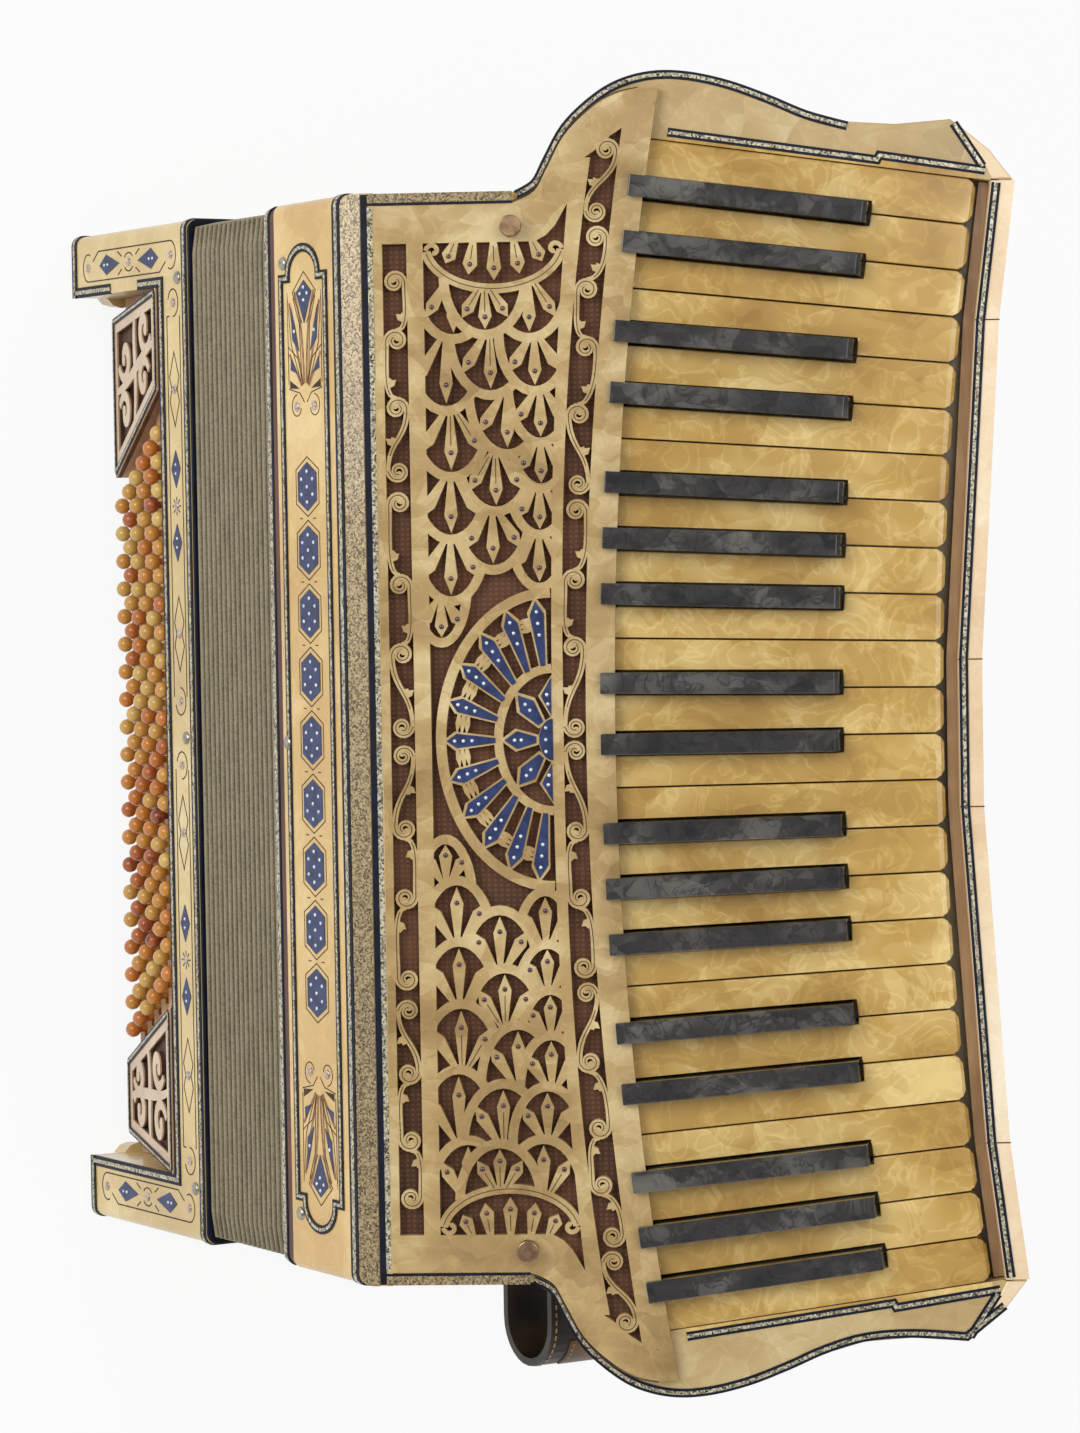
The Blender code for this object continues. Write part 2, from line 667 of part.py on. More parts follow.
def across(edge, half, steps):
    return [(half * (2 * k / steps - 1), edge(half * (2 * k / steps - 1))) for k in range(steps + 1)]


def grille_openings():
    """The two long openings that the fretwork fills."""
    front = rectangle(-FIELD_HALF, RIM_WIDTH + FRAME_FRONT, FIELD_HALF, INNER_BAR_S[0])
    flare = [(FIELD_HALF + out, s) for out, s in CHEEK_FLARE]
    far = across(border_edge, flare[-1][0] + CLEARANCE, 20)
    field = [(-FIELD_HALF, INNER_BAR_S[1]), (FIELD_HALF, INNER_BAR_S[1])] + flare
    return front, field + list(reversed(far)) + [(-x, s) for x, s in reversed(flare)]


def running_scroll(bends, side, low, high):
    """A vine along a channel: each stem crosses over and curls up in the next bend."""
    outlines = []
    for first, second in zip(bends, bends[1:]):
        middle, room = (low(second) + high(second)) / 2, (high(second) - low(second)) / 2
        radius = min(CURL_RADIUS, room - CURL_CLEAR)
        start = (first, (low(first) + high(first)) / 2 + side * (room - VINE_WIDTH * 0.3))
        heart = (second, middle - side * (room - VINE_WIDTH * 0.3 - radius))
        span = second - first
        stem = [start, (first + span * 0.28, start[1] - side * room * 0.25), (first + span * 0.5, middle),
                (second - span * 0.25, heart[1] - side * radius * 0.78)]
        curl = []
        for k in range(7):
            turn = side * (-pi / 2 + 2 * pi * 1.05 * k / 6)
            reach = radius + (CURL_CORE - radius) * (k / 6) ** 0.8
            curl.append((heart[0] + reach * cos(turn), heart[1] + reach * sin(turn)))
        outlines.append(ribbon(stem + curl, VINE_WIDTH))
        side = -side
    return outlines


def vines():
    """Both rows of running scrolls, mirrored about the middle."""
    half = []
    for bends, side in INNER_SCROLLS:
        half += running_scroll(bends, side, lambda x: RIM_WIDTH + FRAME_FRONT, lambda x: INNER_BAR_S[0])
    for bends, side in OUTER_SCROLLS:
        half += running_scroll(bends, side, lambda x: bar_edge(x, 1), border_edge)
    return half + mirrored(half)


def sunburst():
    """The half sun in the middle of the outer bar: two rings with petals between them."""
    centre = (0.0, OUTER_BAR_S[0])
    outlines = [band(centre, (SUN_RADIUS_X - SUN_BAND / 2, SUN_RADIUS_S - SUN_BAND / 2), SUN_BAND, pi, 2 * pi, 20),
                band(centre, (HUB_RADIUS_X, HUB_RADIUS_S), HUB_BAND, pi, 2 * pi, 12),
                arc(centre, (HUB_CORE, HUB_CORE * 0.7), pi, 2 * pi, 6)]
    for count, width, inner, outer in (
            (SUN_PETALS, SUN_PETAL_WIDTH, (HUB_RADIUS_X, HUB_RADIUS_S), (SUN_RADIUS_X, SUN_RADIUS_S)),
            (HUB_PETALS, HUB_PETAL_WIDTH, (HUB_CORE * 0.6, HUB_CORE * 0.4), (HUB_RADIUS_X, HUB_RADIUS_S))):
        for k in range(count):
            turn = pi + pi * (k + 0.5) / count
            ends = [(radii[0] * cos(turn), centre[1] + radii[1] * sin(turn)) for radii in (inner, outer)]
            tip = (ends[0][0] + (ends[1][0] - ends[0][0]) * 0.95, ends[0][1] + (ends[1][1] - ends[0][1]) * 0.95)
            outlines.append(petal(ends[0], tip, width, 0.42, 0.76))
    return outlines


class Arch:
    """One arch of the fish scales: its band, the opening in it and three petals in that."""

    def __init__(self, crown, middle, half, root):
        depth = max(ARCH_DEPTH, root - crown + PETAL_SINK)
        centre = (crown + depth, middle)
        self.band = Shape(band(centre, (depth, half), ARCH_BAND, pi / 2, 3 * pi / 2, 8))
        inner = (depth - ARCH_BAND / 2, half - ARCH_BAND / 2)
        self.opening = Shape(arc(centre, inner, pi / 2, 3 * pi / 2, 8))
        self.petals = []
        for lean, share in ((-0.55, 0.80), (0.0, 0.93), (0.55, 0.80)):
            reach = (root - crown) * share
            foot = (root + PETAL_SINK, middle + PETAL_WIDTH / 2 * sin(lean))
            tip = (foot[0] - reach * cos(lean), foot[1] + reach * sin(lean))
            self.petals.append(Shape(petal(foot, tip, PETAL_WIDTH)))

    def outlines(self):
        return [shape.outline for shape in [self.band, self.opening] + self.petals]


def make_arches():
    """The arches from the end towards the middle: each one lies over those that follow."""
    arches = []
    for crown, middle, half in ARCHES:
        behind = [x for x, s, _ in ARCHES if x > crown + ARCH_NEAR and abs(s - middle) < ARCH_NEAR]
        bulge = CRESCENT_DEPTH * sqrt(max(0.0, 1 - ((middle - CRESCENT_S) / CRESCENT_HALF) ** 2))
        arches.append(Arch(crown, middle, half, min(behind) if behind else FIELD_HALF - bulge))
    return arches


def end_fan():
    """The long arch at the field's end, the opening in it and its petals."""
    centre = (FIELD_HALF, CRESCENT_S)
    bow = band(centre, (CRESCENT_DEPTH, CRESCENT_HALF), ARCH_BAND, pi / 2, 3 * pi / 2, 14)
    hollow = arc(centre, (CRESCENT_DEPTH - ARCH_BAND / 2, CRESCENT_HALF - ARCH_BAND / 2), pi / 2, 3 * pi / 2, 14)
    petals = [petal((FIELD_HALF + PETAL_SINK, CRESCENT_S + off * 0.86), (FIELD_HALF - reach, CRESCENT_S + off * 1.10),
                    PETAL_WIDTH, 0.42) for off, reach in END_PETALS]
    return bow, hollow, petals


def make_grille():
    """A pearl plate fretted with scrolls, fish-scale arches and a half sun."""
    frame = grille_outline(0.0, 0.0)
    openings = grille_openings()
    tail = FIELD_HALF + OUTER_BAR_TAIL
    bar = across(lambda x: bar_edge(x, 0), tail, 20) + list(reversed(across(lambda x: bar_edge(x, 1), tail, 20)))
    over = [bar] + sunburst() + vines()
    ring = arc((0.0, OUTER_BAR_S[0]), (SUN_RADIUS_X, SUN_RADIUS_S), pi, 2 * pi, 20)
    bow, hollow, end_petals = end_fan()
    arches = make_arches()
    plan, sun, shallow = Shape(frame), Shape(ring), Shape(hollow)
    gaps, laid = [Shape(opening) for opening in openings], [Shape(outline) for outline in over]
    ends = [Shape(outline) for outline in [bow] + end_petals]

    def solid(x, s):
        if not plan.holds(x, s):
            return False
        if not any(gap.holds(x, s) for gap in gaps):
            return True
        if any(shape.holds(x, s) for shape in laid):
            return True
        if not INNER_BAR_S[1] < s < bar_edge(x, 0) or abs(x) > FIELD_HALF or sun.holds(x, s):
            return False
        x = abs(x)
        if any(shape.holds(x, s) for shape in ends):
            return True
        if shallow.holds(x, s):
            return False
        for arch in arches:
            if arch.band.holds(x, s):
                return True
            if arch.opening.holds(x, s):
                return any(shape.holds(x, s) for shape in arch.petals)
        return False
    half = [bow, hollow] + end_petals + [outline for arch in arches for outline in arch.outlines()]
    outlines = [frame, ring] + list(openings) + over + half + mirrored(half)
    return plate("treble_grille", outlines, solid, -GRILLE_THICKNESS, 0.0, "ivory_pearl")


def make_cloth():
    outline = grille_outline(CLOTH_INSET, CLOTH_LIP_INSET)
    bm = bmesh.new()
    low = -(GRILLE_THICKNESS + CLEARANCE + CLOTH_THICKNESS)
    prism(bm, outline, low, -(GRILLE_THICKNESS + CLEARANCE), world)
    return make_object("grille_cloth_board", bm, "brown_cloth")


def make_bellows():
    rings = []
    levels = [(0.0, 0.0), (BELLOWS_FRAME, 0.0)]
    run = BELLOWS_HEIGHT - 2 * CLEARANCE - 2 * BELLOWS_FRAME
    for k in range(FOLDS):
        levels.append((BELLOWS_FRAME + run * (k + 0.5) / FOLDS, FOLD_DEPTH if k % 1 == 0 else 0.0))
        levels.append((BELLOWS_FRAME + run * (k + 1.0) / FOLDS, 0.0))
    levels.append((BELLOWS_HEIGHT - 2 * CLEARANCE, 0.0))

    def ring(height, inset):
        x, y0, y1 = HALF - BELLOWS_INSET - inset, BELLOWS_INSET + inset, BODY_DEPTH - BELLOWS_INSET - inset
        c = BELLOWS_CORNER - inset * 0.5
        z = BASS_TOP + CLEARANCE + height
        corners = [(-x + c, y0), (x - c, y0), (x, y0 + c), (x, y1 - c), (x - c, y1), (-x + c, y1),
                   (-x, y1 - c), (-x, y0 + c)]
        return [upright(a, b, z) for a, b in corners]
    bm = bmesh.new()
    outer = [[bm.verts.new(p) for p in ring(h, d)] for h, d in levels]
    inner = [[bm.verts.new(p) for p in ring(h, d + BELLOWS_WALL)] for h, d in levels]
    for rows in (outer, inner):
        for first, second in zip(rows, rows[1:]):
            for i in range(8):
                j = (i + 1) % 8
                bm.faces.new((first[i], second[i], second[j], first[j]))
    for a, b in ((outer[0], inner[0]), (outer[-1], inner[-1])):
        for i in range(8):
            j = (i + 1) % 8
            bm.faces.new((a[i], a[j], b[j], b[i]))
    return make_object("bellows", bm, "bellows_cloth")


def board_steps():
    """Front face depth and middle height of each step, from the bellows side outwards."""
    top = BASS_TOP - BASS_STRIP - CLEARANCE
    return [(BOARD_FRONT + STEP_DEPTH * k, top - STEP_HEIGHT * (k + 0.5)) for k in range(BUTTON_ROWS)]


def air_bore():
    bm = bmesh.new()
    bmesh.ops.create_cone(bm, cap_ends=True, segments=16, radius1=AIR_RADIUS + CLEARANCE,
                          radius2=AIR_RADIUS + CLEARANCE, depth=0.06,
                          matrix=Matrix.Translation(upright(AIR_X, AIR_Y, FOOT_HEIGHT)))
    return cutter("air_button_bore", bm)


def make_bass_case(bore):
    case = make_object("bass_case", rounded_plan(BASS_BASE + CLEARANCE, BASS_TOP), "cream_pearl")
    inside = HALF - WALL
    bm = bmesh.new()
    block(bm, (-inside, MECHANISM_DEPTH + WALL, BASS_BASE + WALL), (inside, BODY_DEPTH - WALL, BASS_TOP + WALL))
    combine(case, cutter("bass_chamber", bm), "DIFFERENCE")
    bm = bmesh.new()
    block(bm, (-inside, WALL, BASS_TOP - BASS_STRIP + WALL), (inside, BODY_DEPTH - WALL - 0.001, BASS_TOP + WALL))
    combine(case, cutter("strip_chamber", bm), "DIFFERENCE")
    recess = HALF - ARM_WIDTH
    bm = bmesh.new()
    block(bm, (-recess, -WALL, BASS_BASE - WALL), (recess, MECHANISM_DEPTH, BASS_TOP - BASS_STRIP))
    combine(case, cutter("button_recess", bm), "DIFFERENCE")
    combine(case, bore, "DIFFERENCE")
    return case


def make_bass_cover(bore):
    recess = HALF - ARM_WIDTH
    front = board_steps()[-1][0] + BOARD_THICKNESS + STEP_DEPTH + RIB_TAIL + BUTTON_TRAVEL
    outline = [(-HALF, 0), (-recess, 0), (-recess, front), (recess, front), (recess, 0), (HALF, 0),
               (HALF, BODY_DEPTH), (-HALF, BODY_DEPTH)]
    bm = bmesh.new()
    prism(bm, outline, FOOT_HEIGHT, BASS_BASE, upright)
    cover = make_object("bass_cover", bm, "cream_pearl")
    combine(cover, cutter("cover_plan", rounded_plan(FOOT_HEIGHT - WALL, BASS_BASE + WALL)), "INTERSECT")
    feet = bmesh.new()
    for x in (-HALF + FOOT_INSET, HALF - FOOT_INSET):
        for depth in (FOOT_INSET, BODY_DEPTH - FOOT_INSET):
            centre = upright(x, depth, (FOOT_HEIGHT + COVER_THICKNESS / 2) / 2)
            bmesh.ops.create_cone(feet, cap_ends=True, segments=12, radius1=FOOT_RADIUS * 0.85,
                                  radius2=FOOT_RADIUS, depth=FOOT_HEIGHT + COVER_THICKNESS / 2,
                                  matrix=Matrix.Translation(centre))
    for side in (-1, 1):
        x0, x1 = sorted((side * (STRAP_HALF + CLEARANCE), side * (STRAP_HALF + 0.012)))
        block(feet, (x0, STRAP_Y - STRAP_WIDTH / 2, 0.0030),
              (x1, STRAP_Y + STRAP_WIDTH / 2, FOOT_HEIGHT + COVER_THICKNESS / 2))
    combine(cover, cutter("feet_and_brackets", feet), "UNION")
    combine(cover, bore, "DIFFERENCE")
    return cover


def row_start(row):
    middle = BUTTON_CENTRE + (row - (BUTTON_ROWS - 1) / 2) * BUTTON_SHIFT
    return middle - (BUTTONS_PER_ROW - 1) / 2 * BUTTON_PITCH


def cheek_panels():
    """The two sloping panels at the ends of the button field, cut to the slant of the rows."""
    recess = HALF - ARM_WIDTH - CLEARANCE
    steps = board_steps()
    top = steps[0][1] + STEP_HEIGHT / 2
    low = steps[-1][1] - STEP_HEIGHT / 2
    high = top - CHEEK_TOP_GAP

    def place(x, z, back):
        mean = BOARD_FRONT + STEP_DEPTH * ((top - z) / STEP_HEIGHT - 0.5)
        return upright(x, mean + (CHEEK_SINK if back else -CHEEK_RISE), z)
    bm = bmesh.new()
    for side, reach in ((-1, CHEEK_REACH_HIGH), (1, CHEEK_REACH_LOW)):
        outline = [(side * (recess - CHEEK_SLANT), low), (side * recess, high), (side * (recess - reach[0]), high),
                   (side * (recess - reach[1]), low)]
        prism(bm, outline, 0, 1, place)
    return bm


def make_button_board():
    recess = HALF - ARM_WIDTH - CLEARANCE
    steps = board_steps()
    top = steps[0][1] + STEP_HEIGHT / 2
    outline = []
    for depth, middle in steps:
        outline += [(depth, middle + STEP_HEIGHT / 2), (depth, middle - STEP_HEIGHT / 2)]
    bottom = outline[-1]
    outline += [(bottom[0] + BOARD_THICKNESS, bottom[1]), (steps[0][0] + BOARD_THICKNESS, top)]
    bm = bmesh.new()
    prism(bm, outline, -recess, recess, lambda a, b, x: upright(x, a, b))
    board = make_object("bass_button_board", bm, "wood")
    combine(board, cutter("cheek_panels", cheek_panels()), "UNION")
    slots = bmesh.new()
    for row, (depth, middle) in enumerate(steps):
        x0 = row_start(row) - 0.004
        x1 = x0 + (BUTTONS_PER_ROW - 1) * BUTTON_PITCH + 0.008
        block(slots, (x0, -0.02, middle - SLOT_HEIGHT / 2), (x1, MECHANISM_DEPTH + 0.02, middle + SLOT_HEIGHT / 2))
    combine(board, cutter("button_slots", slots), "DIFFERENCE")
    return board


def make_button_row(row):
    depth, middle = board_steps()[row]
    first = row_start(row)
    last = first + (BUTTONS_PER_ROW - 1) * BUTTON_PITCH
    neck = 0.0006 + BUTTON_TRAVEL
    bm = bmesh.new()
    end = 0.004 - 2 * CLEARANCE
    block(bm, (first - end, depth - neck - 0.0010, middle - RIB_HEIGHT / 2),
          (last + end, depth + BOARD_THICKNESS + STEP_DEPTH + RIB_TAIL, middle + RIB_HEIGHT / 2))
    rib = make_object(f"bass_row_{row + 1}", bm, "amber")
    heads = bmesh.new()
    for k in range(BUTTONS_PER_ROW):
        x = first + k * BUTTON_PITCH
        rings = []
        for back, radius in ((0.0, BUTTON_RADIUS * 0.85), (0.5, BUTTON_RADIUS), (1.0, BUTTON_RADIUS * 0.60)):
            ring = []
            for m in range(6):
                turn = 2 * pi * m / 6
                ring.append(upright(x + radius * cos(turn), depth - neck - back * BUTTON_THICKNESS,
                                    middle + radius * sin(turn)))
            rings.append(ring)
        loft(heads, rings)
    combine(rib, cutter(f"bass_row_{row + 1}_heads", heads), "UNION")
    return rib


def make_air_button():
    bm = bmesh.new()
    head = 0.014
    bmesh.ops.create_cone(bm, cap_ends=True, segments=16, radius1=AIR_RADIUS * 0.9, radius2=AIR_RADIUS, depth=head,
                          matrix=Matrix.Translation(upright(AIR_X, AIR_Y, FOOT_HEIGHT - AIR_REACH + head / 2)))
    return make_object("air_button", bm, "amber")


def make_bass_strap():
    """The hand strap, slightly bowed between its two brackets."""
    rings = []
    steps = 12
    for k in range(steps + 1):
        x = -STRAP_HALF + 2 * STRAP_HALF * k / steps
        z = 0.0062 - 0.0022 * cos(pi * x / (2 * STRAP_HALF))
        y0, y1 = STRAP_Y - STRAP_WIDTH / 2, STRAP_Y + STRAP_WIDTH / 2
        half = STRAP_THICKNESS / 2
        rings.append([upright(x, y0, z - half), upright(x, y1, z - half),
                      upright(x, y1, z + half), upright(x, y0, z + half)])
    bm = bmesh.new()
    loft(bm, rings)
    return make_object("bass_hand_strap", bm, "black_leather")


def make_shoulder_loop():
    """A strap loop that stands out from the low-note end wall."""
    centre_z = TREBLE_BASE + LOOP_Z
    steps = 14
    outer, inner = [], []
    for points, shrink in ((outer, 0.0), (inner, LOOP_THICKNESS)):
        for k in range(steps + 1):
            turn = -pi / 2 + pi * k / steps
            x = (LOOP_REACH - LOOP_HEIGHT / 2) + (LOOP_HEIGHT / 2 - shrink) * cos(turn)
            z = (LOOP_HEIGHT / 2 - shrink) * sin(turn)
            points.append((x, z))
    start = HALF + CLEARANCE
    outline = [(start, centre_z - LOOP_HEIGHT / 2)] + [(start + x, centre_z + z) for x, z in outer]
    outline += [(start, centre_z + LOOP_HEIGHT / 2), (start, centre_z + LOOP_HEIGHT / 2 - LOOP_THICKNESS)]
    outline += [(start + x, centre_z + z) for x, z in reversed(inner)]
    outline += [(start, centre_z - LOOP_HEIGHT / 2 + LOOP_THICKNESS)]
    bm = bmesh.new()
    prism(bm, outline, LOOP_Y - LOOP_WIDTH / 2, LOOP_Y + LOOP_WIDTH / 2, lambda x, z, y: upright(x, y, z))
    return make_object("shoulder_strap_loop", bm, "black_leather")


def main():
    for obj in list(bpy.data.objects):
        bpy.data.objects.remove(obj, do_unlink=True)
    bore = air_bore()
    make_bass_case(bore)
    make_bass_cover(bore)
    make_button_board()
    for row in range(BUTTON_ROWS):
        make_button_row(row)
    make_air_button()
    make_bass_strap()
    make_bellows()
    make_treble_case()
    rod, rod_bore = make_key_rod()
    make_key_bed(rod_bore)
    make_key_rail()
    blacks = black_places()
    for index in range(WHITE_COUNT):
        make_white_key(index, blacks)
    for number, (_, angle) in enumerate(blacks, 1):
        make_black_key(number, angle)
    make_cloth()
    make_grille()
    make_shoulder_loop()


main()
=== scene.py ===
"""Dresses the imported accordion: pearl plates, fretwork, inlays, keys, bellows, buttons and straps."""

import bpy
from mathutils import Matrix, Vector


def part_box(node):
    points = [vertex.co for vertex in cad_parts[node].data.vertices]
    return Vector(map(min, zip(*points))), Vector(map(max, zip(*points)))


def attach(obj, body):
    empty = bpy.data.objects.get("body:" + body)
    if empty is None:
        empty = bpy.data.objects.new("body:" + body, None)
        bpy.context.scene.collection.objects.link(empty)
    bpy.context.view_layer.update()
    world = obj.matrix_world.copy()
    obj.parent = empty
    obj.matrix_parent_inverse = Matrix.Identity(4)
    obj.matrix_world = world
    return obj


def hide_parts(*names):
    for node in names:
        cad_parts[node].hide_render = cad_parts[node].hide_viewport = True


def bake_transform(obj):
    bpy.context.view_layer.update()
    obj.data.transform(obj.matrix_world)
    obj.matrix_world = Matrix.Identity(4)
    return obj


bl_info = {
    "name": "Piano Accordion",
    "version": (1, 0, 0),
    "blender": (4, 5, 0),
    "location": "View3D > Sidebar > Accordion",
    "description": "Finishes a curved-keyboard piano accordion with pearl, fretwork and glitter binding",
    "category": "Object",
}

from math import cos, pi, radians, sin, sqrt

import bmesh
import bpy
from mathutils import Matrix, Vector
from mathutils.geometry import delaunay_2d_cdt

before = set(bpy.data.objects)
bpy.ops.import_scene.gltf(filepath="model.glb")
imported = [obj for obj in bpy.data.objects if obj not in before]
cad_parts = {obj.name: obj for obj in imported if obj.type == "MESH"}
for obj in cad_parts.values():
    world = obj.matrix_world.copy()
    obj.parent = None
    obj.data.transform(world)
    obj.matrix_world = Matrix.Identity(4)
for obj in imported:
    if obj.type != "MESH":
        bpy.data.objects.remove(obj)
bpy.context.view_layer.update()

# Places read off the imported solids, in metres
CASE_LOW, CASE_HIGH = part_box("treble_case")
BASS_LOW, BASS_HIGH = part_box("bass_case")
BELLOWS_LOW, BELLOWS_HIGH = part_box("bellows")
COVER_LOW, COVER_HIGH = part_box("bass_cover")
FRONT_Y = CASE_LOW[1]
HALF = CASE_HIGH[0]
DEPTH = BASS_HIGH[1] - BASS_LOW[1]
SLOPE = radians(35.0)
CHAMFER_DEPTH = 0.0060
STRIP_TOP = CASE_LOW[2] - 0.0003 + 0.059
PLANE_Z = STRIP_TOP + 0.0065
FAN_RADIUS = 1.600
LIP_S = 0.1038
WHITE_END_S = 0.2419
FAN_CENTRE_S = WHITE_END_S + FAN_RADIUS
KEY_ANGLE = 0.0194 / FAN_RADIUS
RAIL_S = WHITE_END_S + 0.006
GRILLE_THICKNESS = 0.0045
FIELD_LOW = 0.0262
SUN_X, SUN_S = 0.0642, 0.0493
ARM_WIDTH = 0.0285
BODY_ROUND = 0.0045
FLAT = HALF - BODY_ROUND
TURN = BODY_ROUND * pi / 2


def slope(x, s, n):
    """A place on the sloping plane of the grille and keys."""
    return Vector((x, FRONT_Y + CHAMFER_DEPTH + s * cos(SLOPE) - n * sin(SLOPE),
                   PLANE_Z + s * sin(SLOPE) + n * cos(SLOPE)))


def front(x, z, out):
    """A place on the front face, out towards the listener."""
    return Vector((x, FRONT_Y - out, z))


def around(u, z, out):
    """A place on the front that turns the body's rounded corner and runs back along its end."""
    side, u = (1 if u > 0 else -1), abs(u)
    if u <= FLAT:
        return Vector((side * u, FRONT_Y - out, z))
    if u <= FLAT + TURN:
        angle, reach = (u - FLAT) / BODY_ROUND, BODY_ROUND + out
        return Vector((side * (FLAT + reach * sin(angle)), FRONT_Y + BODY_ROUND - reach * cos(angle), z))
    return Vector((side * (HALF + out), FRONT_Y + BODY_ROUND + u - FLAT - TURN, z))


def level(start, end, z):
    """Points along a level line round the body, close together where it turns."""
    stops = [start, end] + [sign * (FLAT + TURN * k / 5) for sign in (-1, 1) for k in range(6)]
    return [(u, z) for u in sorted(stops) if start <= u <= end]


def chamfer(x, y, out):
    """A place on the glitter chamfer, y behind the front face."""
    rise = (PLANE_Z - STRIP_TOP) / CHAMFER_DEPTH
    along = sqrt(1 + rise * rise)
    return Vector((x, FRONT_Y + y - out * rise / along, STRIP_TOP + y * rise + out / along))


def flowing(points, steps=5):
    """A smooth line through the points."""
    line = []
    for i in range(len(points) - 1):
        a, b, c, d = (points[min(max(k, 0), len(points) - 1)] for k in (i - 1, i, i + 1, i + 2))
        for k in range(steps):
            t = k / steps
            line.append(tuple(0.5 * (2 * q + (r - p) * t + (2 * p - 5 * q + 4 * r - w) * t * t
                                     + (3 * q - p - 3 * r + w) * t ** 3) for p, q, r, w in zip(a, b, c, d)))
    return line + [points[-1]]


def fan(angle, s_mid, across=0.0):
    radius = FAN_CENTRE_S - s_mid
    return radius * sin(angle) + across * cos(angle), FAN_CENTRE_S - radius * cos(angle) + across * sin(angle)


# Node helpers

def node(tree, kind, inputs=None, **settings):
    """Add a node, set its properties, and link or set its inputs."""
    made = tree.nodes.new(kind)
    for key, value in settings.items():
        setattr(made, key, value)
    for key, value in (inputs or {}).items():
        if isinstance(value, bpy.types.NodeSocket):
            tree.links.new(value, made.inputs[key])
        else:
            made.inputs[key].default_value = value
    return made


def ramp(tree, factor, stops):
    made = node(tree, "ShaderNodeValToRGB", {0: factor})
    elements = made.color_ramp.elements
    while len(elements) < len(stops):
        elements.new(0.5)
    for element, (place, colour) in zip(elements, stops):
        element.position = place
        element.color = (*colour, 1.0)
    return made.outputs["Color"]


def maths(tree, operation, a, b=None):
    inputs = {0: a}
    if b is not None:
        inputs[1] = b
    return node(tree, "ShaderNodeMath", inputs, operation=operation).outputs[0]


def blank(name, rough, metal=0.0, coat=0.0, coat_rough=0.05, shine=0.5):
    """A new material with its shader, and Object coordinates."""
    mat = bpy.data.materials.new(name)
    mat.use_nodes = True
    tree = mat.node_tree
    shader = tree.nodes["Principled BSDF"]
    shader.inputs["Roughness"].default_value = rough
    shader.inputs["Metallic"].default_value = metal
    shader.inputs["Specular IOR Level"].default_value = shine
    shader.inputs["Coat Weight"].default_value = coat
    shader.inputs["Coat Roughness"].default_value = coat_rough
    place = node(tree, "ShaderNodeTexCoord").outputs["Object"]
    return mat, tree, shader, place


def bump(tree, shader, height, distance, strength=1.0):
    made = node(tree, "ShaderNodeBump", {"Height": height, "Distance": distance, "Strength": strength})
    tree.links.new(made.outputs["Normal"], shader.inputs["Normal"])


# Materials

def srgb(red, green, blue):
    """A colour written as it looks on a screen, 0 to 255, made linear."""
    return tuple(((v / 255 + 0.055) / 1.055) ** 2.4 if v > 10 else v / 3295 for v in (red, green, blue))


def silk(tree, place, size, turn):
    """Pearl shards: long flakes, each shaded across in its own direction."""
    warp = node(tree, "ShaderNodeTexNoise", {"Vector": place, "Scale": 0.7 / size, "Detail": 2.0}).outputs["Color"]
    moved = node(tree, "ShaderNodeVectorMath", {0: warp, 1: (size * 1.1,) * 3, 2: place},
                 operation="MULTIPLY_ADD").outputs[0]
    drawn = node(tree, "ShaderNodeMapping", {"Vector": moved, "Rotation": turn, "Scale": (1.0, 0.5, 0.8)}).outputs[0]
    cells = node(tree, "ShaderNodeTexVoronoi", {"Vector": drawn, "Scale": 1.0 / size})
    lean = node(tree, "ShaderNodeVectorMath", {0: cells.outputs["Color"], 1: (2.0,) * 3, 2: (-1.0,) * 3},
                operation="MULTIPLY_ADD").outputs[0]
    apart = node(tree, "ShaderNodeVectorMath", {0: drawn, 1: cells.outputs["Position"]}, operation="SUBTRACT").outputs[0]
    across = node(tree, "ShaderNodeVectorMath", {0: lean, 1: apart}, operation="DOT_PRODUCT").outputs["Value"]
    value = node(tree, "ShaderNodeSeparateColor", {0: cells.outputs["Color"]}).outputs[0]
    phase = maths(tree, "ADD", maths(tree, "MULTIPLY", across, 3.2 / size), maths(tree, "MULTIPLY", value, 6.3))
    return maths(tree, "SINE", phase)


